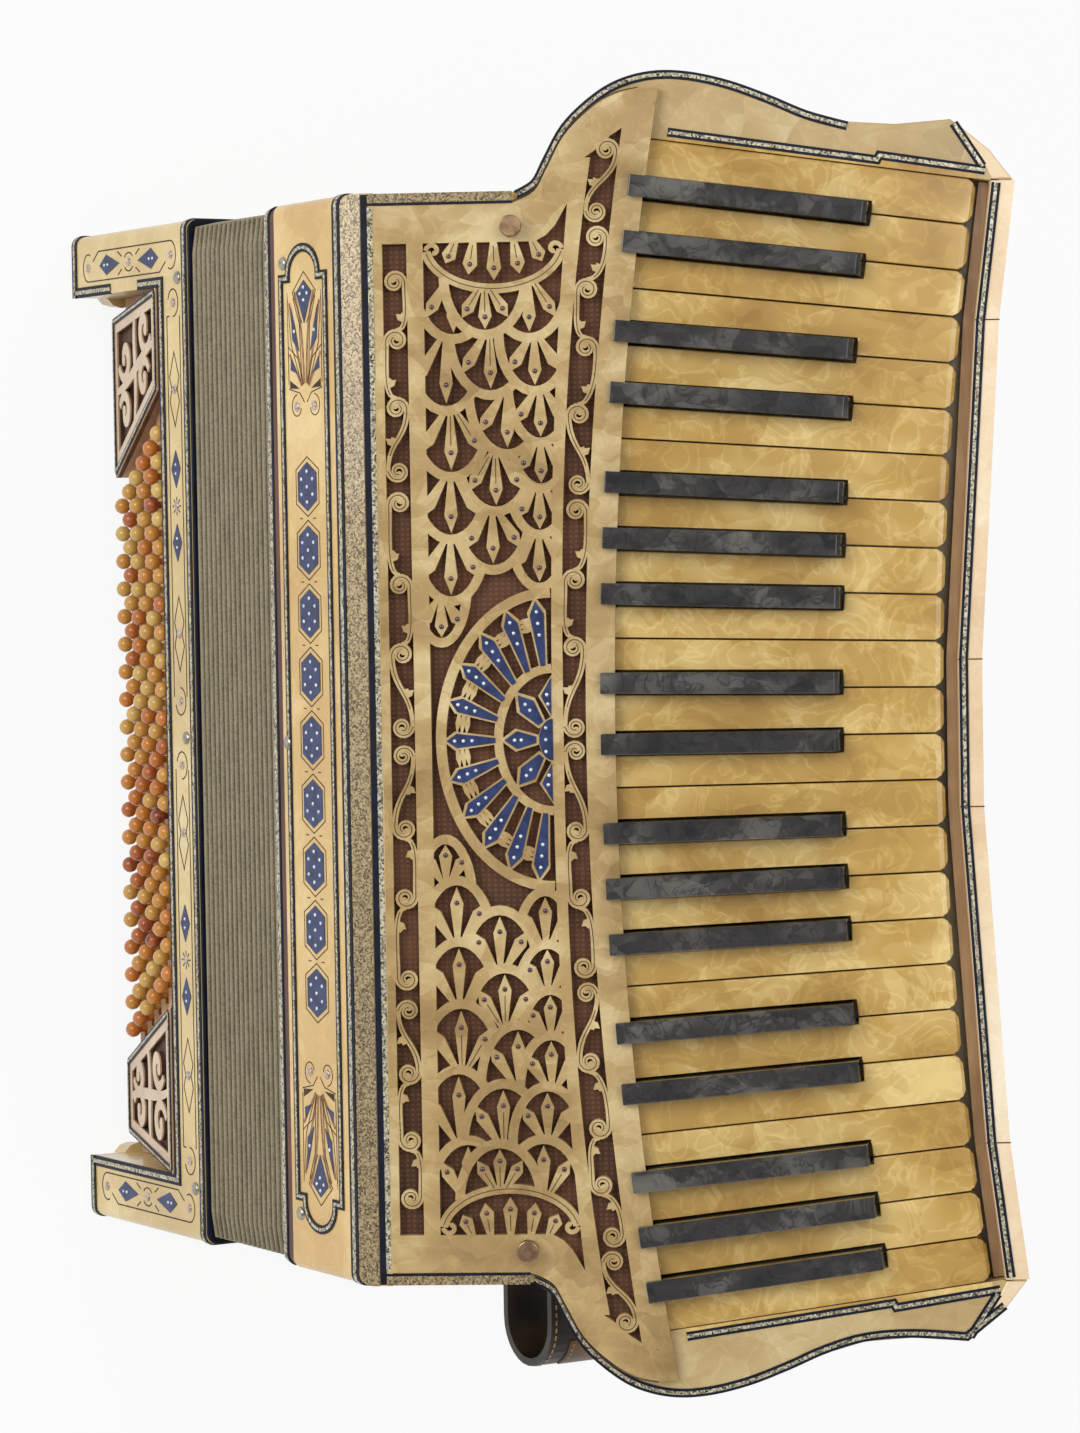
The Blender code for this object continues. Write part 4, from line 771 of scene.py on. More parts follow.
class Arch:
    """One arch of the fish scales: its band, the opening inside, and the petals in that."""

    def __init__(self, crown, middle, half, root_x):
        depth = max(ARCH_DEPTH, root_x - crown + 0.0010)
        centre = crown + depth
        outer = ellipse(centre, middle, depth + ARCH_BAND / 2, half + ARCH_BAND / 2, pi / 2, 3 * pi / 2, 18)
        inner = ellipse(centre, middle, depth - ARCH_BAND / 2, half - ARCH_BAND / 2, pi / 2, 3 * pi / 2, 18)
        self.band = outer + list(reversed(inner))
        self.opening = inner
        self.petals, self.stones, self.lines = [], [], []
        reach = root_x - crown
        for tilt, share in ((-0.55, 0.80), (0.0, 0.93), (0.55, 0.80)):
            root = (root_x + 0.0010, middle + 0.0030 * sin(tilt))
            long = reach * share
            tip = (root[0] - long * cos(tilt), root[1] + long * sin(tilt))
            self.petals.append(kite(root, tip, 0.0056, 0.32))
            self.stones.append((root[0] + (tip[0] - root[0]) * 0.72, root[1] + (tip[1] - root[1]) * 0.72))
            self.lines.append([(root[0] + (tip[0] - root[0]) * share, root[1] + (tip[1] - root[1]) * share)
                               for share in (0.12, 0.60)])

    def outlines(self):
        return [self.band, self.opening] + self.petals


def crescent_x(s):
    x, middle, depth, half = CRESCENT
    return x - depth * sqrt(max(0.0, 1 - ((s - middle) / half) ** 2))


def make_arches():
    """The arches from the end towards the middle: each one lies over those after it."""
    arches = []
    for crown, middle, half in ARCHES:
        behind = [x for x, s, _ in ARCHES if x > crown + 0.010 and abs(s - middle) < 0.0095]
        root = min(behind) if behind else crescent_x(middle)
        arches.append(Arch(crown, middle, half, root))
    return arches


def end_crescent():
    """The long arch at the field's end, with a curl at each tip and five petals."""
    x, middle, depth, half = CRESCENT
    outer = ellipse(x, middle, depth + ARCH_BAND / 2, half + ARCH_BAND / 2, pi / 2 + 0.16, 3 * pi / 2 - 0.16, 26)
    inner = ellipse(x, middle, depth - ARCH_BAND / 2, half - ARCH_BAND / 2, pi / 2 + 0.16, 3 * pi / 2 - 0.16, 26)
    over = [outer + list(reversed(inner))]
    for sign in (-1, 1):
        tip = ((outer[0][0] + inner[0][0]) / 2, middle + sign * (abs(outer[0][1] - middle) + abs(inner[0][1] - middle)) / 2)
        hook = curl(tip[0] + 0.0004, tip[1] - sign * 0.0030, 0.0031, 0.0010, sign * pi / 2, sign * -0.8, 12)
        over.append(stroke(hook, 0.0019))
    petals, stones, lines = [], [], []
    for s, reach in ((-0.0185, 0.0085), (-0.0098, 0.0135), (0.0, 0.0160), (0.0098, 0.0135), (0.0185, 0.0085)):
        root, tip = (END_X + 0.0010, middle + s * 0.86), (END_X - reach, middle + s * 1.10)
        petals.append(kite(root, tip, 0.0062, 0.42))
        stones.append((root[0] + (tip[0] - root[0]) * 0.70, root[1] + (tip[1] - root[1]) * 0.70))
        lines.append([(root[0] + (tip[0] - root[0]) * share, root[1] + (tip[1] - root[1]) * share)
                      for share in (0.15, 0.55)])
    rim = ellipse(x, middle, depth, half, pi / 2 + 0.2, 3 * pi / 2 - 0.2, 26)
    return over, inner, petals, stones, lines + [rim]


def sunburst():
    """Frame, petals and inlays of the half sun in the middle."""
    frame, inlay, stones = [], [], []
    centre = field_high(0)
    frame.append(stroke(ellipse(0, centre, SUN_X - 0.0022, SUN_S - 0.0022, pi, 2 * pi, 44), 0.0044))
    frame.append(stroke(ellipse(0, centre, 0.0300, 0.0228, pi, 2 * pi, 30), 0.0038))
    frame.append(ellipse(0, centre + 0.001, 0.0098, 0.0068, pi, 2 * pi, 16))
    inlay.append(ellipse(0, centre + 0.0002, 0.0088, 0.0058, pi, 2 * pi, 16))
    stones += [(x, centre - 0.0028) for x in (-0.005, 0.0, 0.005)]
    for k in range(11):
        turn = pi + pi * (k + 0.5) / 11
        root = (0.0305 * cos(turn), centre + 0.0234 * sin(turn))
        tip = (0.0612 * cos(turn), centre + 0.0464 * sin(turn))
        frame.append(kite(root, tip, 0.0080, 0.42, 0.78))
        direction = Vector(tip) - Vector(root)
        inner_root, inner_tip = Vector(root) + direction * 0.03, Vector(tip) - direction * 0.070
        inlay.append(kite(tuple(inner_root), tuple(inner_tip), 0.0061, 0.34, 0.79))
        stones += [tuple(Vector(root) + direction * share) for share in (0.46, 0.62, 0.78)]
        if k < 10:
            between = pi + pi * (k + 1) / 11
            spot = Vector((0.0500 * cos(between), centre + 0.0382 * sin(between)))
            outward = Vector((cos(between), sin(between)))
            across = Vector((-outward.y, outward.x))
            for lean in (-0.5, 0.0, 0.5):
                middle = spot + outward * lean * 0.0040
                wide = 0.0060 if lean == 0 else 0.0048
                frame.append(kite(tuple(middle - across * wide), tuple(middle + across * wide), 0.0022, 0.5, 0.5))
    for k in range(5):
        turn = pi + pi * k / 4
        if k in (0, 4):
            side = -1 if k == 0 else 1
            tip = (side * 0.0285, centre + 0.0008)
            frame.append([(side * 0.0085, centre), tip, (side * 0.0185, centre - 0.0058)][::-side])
            inlay.append([(side * 0.0100, centre - 0.0003), (side * 0.0262, centre - 0.0002),
                          (side * 0.0185, centre - 0.0046)][::-side])
            stones += [(side * 0.0150, centre - 0.0017), (side * 0.0190, centre - 0.0021)]
            continue
        root = (0.0085 * cos(turn), centre + 0.0058 * sin(turn))
        tip = (0.0290 * cos(turn), centre + 0.0222 * sin(turn))
        frame.append(kite(root, tip, 0.0098, 0.42, 0.60))
        direction = Vector(tip) - Vector(root)
        inlay.append(kite(tuple(Vector(root) + direction * 0.06), tuple(Vector(tip) - direction * 0.11), 0.0075, 0.36, 0.60))
        stones += [tuple(Vector(root) + direction * share) for share in (0.45, 0.62)]
    return frame, inlay, stones


def lip_edge(x):
    """The plate's edge along the keyboard, drawn out a little at the wings."""
    radius = FAN_CENTRE_S - LIP_S
    return FAN_CENTRE_S - sqrt(radius ** 2 - x * x) + 0.0010 * (abs(x) / 0.27) ** 6


def across_line(edge, half_x, steps=40):
    return [(half_x * (2 * k / steps - 1), edge(half_x * (2 * k / steps - 1))) for k in range(steps + 1)]


WING_EDGE = ((0.2255, 0.0055), (0.2255, 0.0640), (0.2305, 0.0735), (0.2400, 0.0790), (0.2535, 0.0865),
             (0.2640, 0.0975), (0.2700, 0.1080), (0.2722, 0.1180))


def grille_frame():
    """The plate's border and bars as overlapping outlines, with every opening left free."""
    half = WING_EDGE[0][0]
    pieces = [[(-half, 0.0055), (half, 0.0055), (half, 0.0090), (-half, 0.0090)],
              [(-0.2110, 0.0192), (0.2110, 0.0192), (0.2110, 0.0262), (-0.2110, 0.0262)]]
    lip = across_line(lip_edge, 0.2722)
    pieces.append(across_line(outer_high, 0.2560) + [(0.2600, 0.1118)] + list(reversed(lip)) + [(-0.2600, 0.1118)])
    pieces.append(across_line(field_high, 0.2440) + list(reversed(across_line(outer_low, 0.2440))))
    notch = [(0.2560, outer_high(0.2560)), (0.2530, 0.1060), (0.2468, 0.0990), (0.2400, field_high(0.2400)),
             (0.2343, 0.0925), (0.2246, 0.0870), (0.2160, 0.0820), (0.2119, 0.0780), (END_X, 0.0735)]
    cheek = [(END_X, 0.0055)] + list(WING_EDGE[:1]) + flowing(WING_EDGE[1:]) + [lip[-1], (0.2600, 0.1118)] + notch
    return pieces + [cheek] + mirrored([cheek])


def make_fretwork():
    """The pierced grille with its inlays, engraving and stones."""
    arches = make_arches()
    crescent, bowl, end_petals, end_stones, end_lines = end_crescent()
    sun, inlay, clear = sunburst()
    vines, vine_lines = [], []
    for runs, low, high in ((INNER_RUNS, inner_low, inner_high), (OUTER_RUNS, outer_low, outer_high)):
        for centres, side in runs:
            strokes, lines = scroll_run(centres, side, low, high)
            vines += strokes
            vine_lines += lines
    over = grille_frame() + vines + mirrored(vines) + sun
    ring = ellipse(0, field_high(0), SUN_X, SUN_S, pi, 2 * pi, 44)
    half_field = crescent + [bowl] + end_petals + [outline for arch in arches for outline in arch.outlines()]
    over = [Region(outline) for outline in over]
    front_of_field = [Region(outline) for outline in crescent + end_petals]
    hollow = Region(bowl)
    scales = [(Region(arch.band), Region(arch.opening), [Region(petal) for petal in arch.petals]) for arch in arches]

    def solid(x, s):
        if any(region.holds(x, s) for region in over):
            return True
        if not FIELD_LOW < s < field_high(x) or abs(x) > END_X:
            return False
        if (x / SUN_X) ** 2 + ((s - field_high(0)) / SUN_S) ** 2 < 1:
            return False
        x = abs(x)
        if any(region.holds(x, s) for region in front_of_field):
            return True
        if hollow.holds(x, s):
            return False
        for band, opening, petals in scales:
            if band.holds(x, s):
                return True
            if opening.holds(x, s):
                return any(petal.holds(x, s) for petal in petals)
        return False

    bm = bmesh.new()
    outlines = [region.outline for region in over] + half_field + mirrored(half_field) + [ring]
    fretted(bm, outlines, solid, -GRILLE_THICKNESS, 0.0, slope)
    grille = piece("fretwork", bm, "fretwork pearl", "treble_side", 0.0004, 1)
    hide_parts("treble_grille")

    def on_show(x, s, index):
        """Whether a place in one arch isn't covered by the arches over it or the bars."""
        if not FIELD_LOW + 0.0012 < s < field_high(x) - 0.0012 or hollow.holds(x, s):
            return False
        if (x / (SUN_X + 0.0015)) ** 2 + ((s - field_high(0)) / (SUN_S + 0.0015)) ** 2 < 1:
            return False
        return not any(band.holds(x, s) or opening.holds(x, s) for band, opening, _ in scales[:index])

    dark, engraved = list(end_stones), end_lines + vine_lines
    for index, arch in enumerate(arches):
        for stone, line in zip(arch.stones, arch.lines):
            if on_show(*stone, index):
                dark.append(stone)
                if on_show(*line[0], index) and on_show(*line[1], index):
                    engraved.append(line)
    dark += [(-x, s) for x, s in dark]
    bm = bmesh.new()
    for outline in inlay:
        prism(bm, outline, -0.0005, 0.0004, slope)
    piece("sun_inlays", bm, "navy inlay", "treble_side")
    studs("sun_stones", [slope(x, s, 0.0004) for x, s in clear], 0.00085, 0.6, SLOPE_TURN, "clear stone",
          "treble_side")
    studs("petal_stones", [slope(x, s, 0.0001) for x, s in dark], 0.00115, 0.4, SLOPE_TURN, "dark stone",
          "treble_side")
    bm = bmesh.new()
    for line in engraved + mirrored(engraved):
        tape(bm, line, 0.00036, -0.0002, 0.00006, slope)
    joint = [(x + 0.0006, s - 0.0004) for x, s in flowing(WING_EDGE[1:])]
    for line in [joint] + mirrored([joint]):
        tape(bm, line, 0.0005, -0.0002, 0.00004, slope)
    piece("fretwork_engraving", bm, "engraved ink", "treble_side")


# Binding

def binding(name, runs, body, width=0.0038):
    """Navy edging with a glitter core along each run of (points, place, closed)."""
    edging, core = bmesh.new(), bmesh.new()
    for points, place, closed in runs:
        tape(edging, points, width, -0.0006, 0.0005, place, closed)
        tape(core, points, width * 0.38, -0.0006, 0.0007, place, closed)
    piece(name + "_edging", edging, "navy edging", body)
    piece(name + "_core", core, "silver glitter", body)


RAIL_JOINTS = (-0.231, -0.173, -0.031, 0.031, 0.173, 0.231)
WING = ((0.2313, 0.0655), (0.2360, 0.0735), (0.2460, 0.0790), (0.2590, 0.0865), (0.2695, 0.0975), (0.2765, 0.1090),
        (0.2800, 0.1230), (0.2795, 0.1380), (0.2755, 0.1550), (0.2690, 0.1720), (0.2620, 0.1880), (0.2570, 0.2050),
        (0.2555, 0.2250), (0.2570, 0.2480), (0.2440, 0.2640))


def bed_top(x, s, n):
    return slope(x, s, n - 0.0050)


def rail_top(x, s, n):
    return slope(x, s, n - 0.0040)


def make_wings():
    """The two wings beside the keys, with a smooth outline, rounded edges and pale tips."""
    wings, patches, tips, cloths = bmesh.new(), bmesh.new(), bmesh.new(), bmesh.new()
    edge = 12 * KEY_ANGLE - 0.0001 / FAN_RADIUS
    for sign in (-1, 1):
        outer = [(sign * x, s) for x, s in flowing(WING[:-1])] + [(sign * x, s) for x, s in WING[-1:]]
        outer += [(sign * 0.2316, 0.2735), (sign * 0.2316, 0.2648)]
        inner = [fan(sign * edge, s) for s in (0.2470, 0.2200, 0.1700, 0.1250, 0.1000)]
        outline = Region(outer + inner + [(sign * 0.2316, 0.1130), (sign * 0.2316, 0.0700)])
        fretted(wings, [outline.outline], outline.holds, -0.0320, -0.0048, slope)
        patch = [fan(sign * edge, s, sign * across) for s, across in
                 ((0.1110, 0.0), (0.2420, 0.0), (0.2420, 0.0024), (0.2003, 0.0030), (0.1995, 0.0010), (0.1110, 0.0018))]
        prism(patches, patch, -0.0060, -0.0046, slope)
        tip = [(0.2562, 0.2496), (0.2440, 0.2640), (0.2318, 0.2733), (0.2318, 0.2650), (0.2372, 0.2622)]
        prism(tips, [(sign * x, s) for x, s in tip], -0.0100, -0.0046, slope)
        ends = [(0.2300, 0.0900), (0.2440, 0.0930), (0.2590, 0.1080), (0.2600, 0.1130), (0.2500, 0.1110), (0.2300, 0.1100)]
        prism(cloths, [(sign * x, s) for x, s in ends], -0.0052, -0.0046, slope)
    piece("channel_end_cloth", cloths, "grille cloth", "treble_side")
    piece("wings", wings, "plate pearl", "treble_side", 0.0008, 2)
    piece("wing_tips", tips, "rail pearl", "treble_side", 0.0006, 2)
    piece("key_side_patches", patches, "white key pearl 1", "treble_side")


def make_bindings():
    inset = 0.0019
    high_wing = [(-x + inset, s) for x, s in flowing(WING[:12])]
    low_wing = [(x - inset, s) for x, s in flowing(WING[:-1]) + list(WING[-1:])]
    runs = [(high_wing, bed_top, False), (low_wing, bed_top, False)]
    edge = 12 * KEY_ANGLE - 0.0001 / FAN_RADIUS
    for sign in (-1, 1):
        line = [fan(sign * edge, s, sign * across) for s, across in
                ((0.1110, 0.0034), (0.1995, 0.0027), (0.2003, 0.0047), (0.2448, 0.0039))]
        runs.append((line, bed_top, False))
        runs.append(([(sign * 0.2552, 0.2494), (sign * 0.2370, 0.2612)], bed_top, False))
    rail = [(x * 0.996, RAIL_S + 0.0022 + x * x / (2 * FAN_RADIUS)) for x in RAIL_JOINTS]
    runs.append((rail, rail_top, False))
    binding("keyboard_binding", runs, "treble_side")
    reach = FLAT + TURN + DEPTH - 2 * BODY_ROUND
    binding("strip_top_binding", [(level(-reach, reach, STRIP_TOP - 0.0034), around, False)], "treble_side", width=0.0064)
    bm = bmesh.new()
    tape(bm, [(-HALF + 0.0006, 0.0016), (HALF - 0.0006, 0.0016)], 0.0028, -0.0006, 0.0004, slope)
    for sign in (-1, 1):
        tape(bm, [(sign * 0.2262, 0.0030), (sign * 0.2262, 0.0640)], 0.0010, -0.0006, 0.0004, slope)
    piece("plate_edging", bm, "navy edging", "treble_side")
    bm = bmesh.new()
    tape(bm, [(-HALF + 0.0060, 0.0040), (HALF - 0.0060, 0.0040)], 0.0022, -0.0006, 0.0005, slope)
    piece("plate_silver", bm, "silver glitter", "treble_side")
    bm = bmesh.new()
    corner = [(FLAT + BODY_ROUND * sin(k * pi / 12), BODY_ROUND - BODY_ROUND * cos(k * pi / 12)) for k in range(7)]
    outline = corner + [(HALF, CHAMFER_DEPTH), (-HALF, CHAMFER_DEPTH)] + [(-x, y) for x, y in corner[::-1]]
    prism(bm, outline, -0.0005, 0.0005, chamfer)
    for sign in (-1, 1):
        end = [(sign * 0.2268, 0.0030), (sign * 0.2307, 0.0030), (sign * 0.2307, 0.0640), (sign * 0.2268, 0.0640)]
        prism(bm, end[::sign], -0.0006, 0.0003, slope)
    piece("glitter_chamfer", bm, "champagne glitter", "treble_side")
    # The rail wall strip and a lower strip, in the lightened rail wood: painted light in the deep, shaded channel
    # before the rail.
    bm = bmesh.new()
    joints = [(x, RAIL_S + x * x / (2 * FAN_RADIUS)) for x in RAIL_JOINTS]
    tape(bm, [(x, s - 0.0002) for x, s in joints], 0.0006, -0.0216, -0.0005, rail_top)
    tape(bm, [(x, s - 0.0026) for x, s in joints], 0.0042, -0.0150, -0.0090, rail_top)
    piece("rail_liner", bm, "rail wood painted light", "treble_side")
    bm = bmesh.new()
    for x, s in joints[1:-1]:
        tape(bm, [(x, s - 0.0001), (x, s + 0.0102)], 0.0005, -0.0006, 0.00015, rail_top)
    piece("rail_joints", bm, "engraved ink", "treble_side")


# Front ornament

def front_panel_outline(low, high):
    """The treble panel: straight sides, a small shoulder, and an arch at each end."""
    line = []
    for sign in (1, -1):
        a, b = (low, high) if sign > 0 else (high, low)
        step = 0.0062 if sign > 0 else -0.0062
        line += [(sign * 0.1985, a), (sign * 0.1985, a + step)]
        for k in range(15):
            turn = sign * (-pi / 2 + pi * k / 14)
            line.append((sign * (0.1998 + 0.0113 * abs(cos(turn))), (a + b) / 2 + (abs(b - a) / 2 - 0.0062) * sin(turn)))
        line += [(sign * 0.1985, b - step), (sign * 0.1985, b)]
    return line


# One side of the blue leaves, as x from the middle and height from the panel's centre line

LEAF_INLAYS = (((0.1971, 0.0), (0.1920, 0.0068), (0.1787, 0.0), (0.1920, -0.0068)),)
SIDE_INLAYS = (((0.1862, 0.0118), (0.1720, 0.0107), (0.1668, 0.0050), (0.1775, 0.0082)),
               ((0.1640, 0.0122), (0.1591, 0.0126), (0.1573, 0.0066)))
LEAF_LINES = (((0.1787, 0.0020), (0.1922, 0.0103), (0.2007, 0.0), (0.1922, -0.0103), (0.1787, -0.0020)),)
SIDE_LINES = (((0.1540, 0.0040), (0.1700, 0.0120), (0.1919, 0.0150), (0.1728, 0.0148), (0.1530, 0.0146)),
              ((0.1530, 0.0020), (0.1640, 0.0065), (0.1690, 0.0146)), ((0.1510, 0.0146), (0.1490, 0.0050), (0.1450, 0.0012)),
              ((0.1545, 0.0030), (0.1787, 0.0046), (0.1900, 0.0098)))
SPRAYS = (((0.1530, 0.0010), (0.1680, 0.0020), (0.1800, 0.0040), (0.1925, 0.0085)),
          ((0.1525, 0.0022), (0.1620, 0.0050), (0.1720, 0.0088), (0.1880, 0.0132)),
          ((0.1520, 0.0030), (0.1560, 0.0060), (0.1600, 0.0094), (0.1660, 0.0138)))
LEAF_STONES = ((0.1941, 0.0), (0.1914, 0.0031), (0.1914, -0.0031), (0.1886, 0.0), (0.1756, 0.0088), (0.1756, -0.0088))


def both_ways(shapes):
    return [tuple((x, -z) for x, z in shape) for shape in shapes] + list(shapes)


def make_front_ornament():
    low, high, middle = 0.2150, 0.2540, 0.2352
    binding("panel_binding", [(front_panel_outline(low, high), front, True)], "treble_side")
    inlay, lines, stones, sprays, dark, curls = [], [], [], [], [], []
    for sign in (-1, 1):
        def here(shape, sign=sign):
            return [(sign * x, middle + z) for x, z in shape]
        inlay += [here(shape) for shape in list(LEAF_INLAYS) + both_ways(SIDE_INLAYS)]
        lines += [here(shape) for shape in list(LEAF_LINES) + both_ways(SIDE_LINES)]
        sprays += [here(flowing(shape)) for shape in both_ways(SPRAYS)]
        dark += [here(shape) for shape in both_ways([((0.1546, 0.0134), (0.1512, 0.0136), (0.1508, 0.0052))])]
        stones += here(LEAF_STONES)
        for up in (-1, 1):
            centre = (sign * 0.1432, middle + up * 0.0076)
            curls.append(centre)
            lines.append(curl(*centre, 0.0052, 0.0036, 0.0 if sign > 0 else pi, sign * up * 0.72, 16))
    for k in range(-4, 5):
        x = k * 0.0272
        gem = [(x - 0.0105, middle), (x - 0.0060, middle - 0.0082), (x + 0.0060, middle - 0.0082), (x + 0.0105, middle),
               (x + 0.0060, middle + 0.0082), (x - 0.0060, middle + 0.0082)]
        inlay.append(gem)
        ring = [(x + 1.22 * (a - x), middle + 1.22 * (b - middle)) for a, b in gem]
        lines.append(ring + ring[:1])
        stones += [(x + 0.0066 * cos(m * pi / 3), middle + 0.0056 * sin(m * pi / 3)) for m in range(6)] + [(x, middle)]
        if k < 4:
            x += 0.0136
            lines.append([(x, middle - 0.0070), (x, middle - 0.0046)])
            lines.append([(x, middle + 0.0070), (x, middle + 0.0046)])
    bm = bmesh.new()
    for outline in inlay:
        prism(bm, outline, -0.0005, 0.0003, front)
    piece("front_inlays", bm, "navy inlay", "treble_side")
    for name, shapes, material, width in (("front_engraving", lines, "engraved ink", 0.00045),
                                          ("front_sprays", sprays, "brown ink", 0.0015)):
        bm = bmesh.new()
        for line in shapes:
            tape(bm, line, width, -0.0003, 0.00012 if width < 0.001 else 0.00008, front)
        if material == "engraved ink":
            for outline in dark:
                prism(bm, outline, -0.0003, 0.00016, front)
        piece(name, bm, material, "treble_side")
    studs("front_stones", [front(x, z, 0.0003) for x, z in stones], 0.0009, 0.6, FRONT_TURN, "clear stone",
          "treble_side")
    studs("front_curl_stones", [front(x, z, 0.0001) for x, z in curls], 0.0022, 0.4, FRONT_TURN, "rose stone",
          "treble_side", 12, 6)
    screws = [(-0.2052, 0.2170), (0.0015, 0.2135), (0.2060, 0.2170)]
    studs("front_screws", [front(x, z, 0.0) for x, z in screws], 0.0030, 0.55, FRONT_TURN, "nickel", "treble_side",
          16, 8)


# Bass side ornament

def cartouche(sign):
    """The engraved frame on one arm: spirals at its ends, two blue diamonds and a ringed stone."""
    x, z = sign * 0.2158, 0.0690

    def here(points):
        return [(x + sign * a, z + b) for a, b in points]
    lines, inlay = [], []
    for way in (1, -1):
        loop = [(way * (0.0004 + 0.0064 * cos(k * 0.3)), way * (0.0420 + 0.0052 * sin(k * 0.3))) for k in range(13)]
        lines.append(here([(way * 0.0024, way * -0.0370), (way * 0.0068, way * -0.0310)] + loop))
        inlay.append(here([(0.0, way * 0.0095), (0.0047, way * 0.0228), (0.0, way * 0.0300), (-0.0047, way * 0.0228)]))
        lines.append(here([(way * 0.0042 * cos(k * 0.2 - 1.0), 0.0048 * sin(k * 0.2 - 1.0)) for k in range(11)]))
        for side in (1, -1):
            lines.append(here([(side * 0.0030, way * 0.0072), (side * 0.0054, way * 0.0112)]))
    small = here([(0.0, 0.0212), (0.0, 0.0246), (0.0, -0.0212), (0.0, -0.0246)])
    return inlay, lines, small, here([(0.0, 0.0), (0.0004, 0.0420), (-0.0004, -0.0420)])


def strip_ornament(sign, z):
    """One half of the engraving along the bass strip."""
    def here(points):
        return [(sign * a, z + b) for a, b in points]
    lines = []
    for x, way in ((0.1945, 1), (0.0145, -1)):
        lines.append(here([(x + way * 0.0062 * cos(k * 0.32 - 1.3), 0.0062 * sin(k * 0.32 - 1.3) * 0.8)
                           for k in range(15)]))
    for side in (-1, 1):
        lines.append(here([(0.0165, side * 0.0062), (0.1885, side * 0.0062)]))
    lines.append(here([(0.1885, -0.0062), (0.1885, -0.0038)]))
    for x in (0.1555, 0.0450):
        for way in (1, -1):
            lines.append(here([(x + way * 0.0055, 0.0046), (x + way * 0.0168, 0.0), (x + way * 0.0055, -0.0046)]))
            lines.append(here([(x - 0.0055, way * 0.0046), (x, way * 0.0026), (x + 0.0055, way * 0.0046)]))
    inlay = [here([(x - 0.0085, 0.0), (x, -0.0044), (x + 0.0085, 0.0), (x, 0.0044)]) for x in (0.1195, 0.0862)]
    for k in range(8):
        turn = k * pi / 4
        lines.append(here([(0.1028 + 0.0024 * cos(turn), 0.0024 * sin(turn)), (0.1028 + 0.0042 * cos(turn), 0.0042 * sin(turn))]))
    small = here([(0.1175, 0.0), (0.1215, 0.0), (0.0842, 0.0), (0.0882, 0.0)])
    return inlay, lines, small, here([(x, 0.0) for x in (0.1945, 0.1555, 0.1028, 0.0450, 0.0145)])


def make_bass_ornament():
    strip_low = BASS_HIGH[2] - 0.0280
    recess = HALF - ARM_WIDTH
    inlay, lines, small, large = [], [], [], []
    for sign in (-1, 1):
        for group in (cartouche(sign), strip_ornament(sign, strip_low + 0.0136)):
            for kept, new in zip((inlay, lines, small, large), group):
                kept += new
    bm = bmesh.new()
    for outline in inlay:
        prism(bm, outline, -0.0005, 0.0003, front)
    piece("bass_inlays", bm, "navy inlay", "bass_side")
    bm = bmesh.new()
    for line in lines:
        tape(bm, line, 0.0006, -0.0003, 0.00012, front)
    piece("bass_engraving", bm, "engraved ink", "bass_side")
    studs("bass_stones", [front(x, z, 0.0003) for x, z in small], 0.0008, 0.6, FRONT_TURN, "clear stone", "bass_side")
    studs("bass_large_stones", [front(x, z, 0.0001) for x, z in large], 0.0021, 0.4, FRONT_TURN, "rose stone",
          "bass_side", 12, 6)
    studs("bass_screws", [front(x, BASS_HIGH[2] - 0.0095, 0.0) for x in (-0.2055, 0.002, 0.2065)], 0.0030, 0.5,
          FRONT_TURN, "nickel", "bass_side", 16, 8)
    reach = FLAT + TURN + DEPTH - 2 * BODY_ROUND
    edge, low, high = 0.0020, BASS_LOW[2] - 0.0035, strip_low + 0.0020
    runs = [(level(-reach, reach, BASS_HIGH[2] - 0.0025), around, False),
            (level(recess - 0.0002, reach, low), around, False), (level(-reach, -recess + 0.0002, low), around, False),
            ([(-recess - edge, 0.0780), (-recess - edge, high), (recess + edge, high), (recess + edge, low)], front, False),
            ([(-recess - edge, low), (-recess - edge, 0.0500)], front, False)]
    binding("bass_binding", runs, "bass_side", width=0.0048)


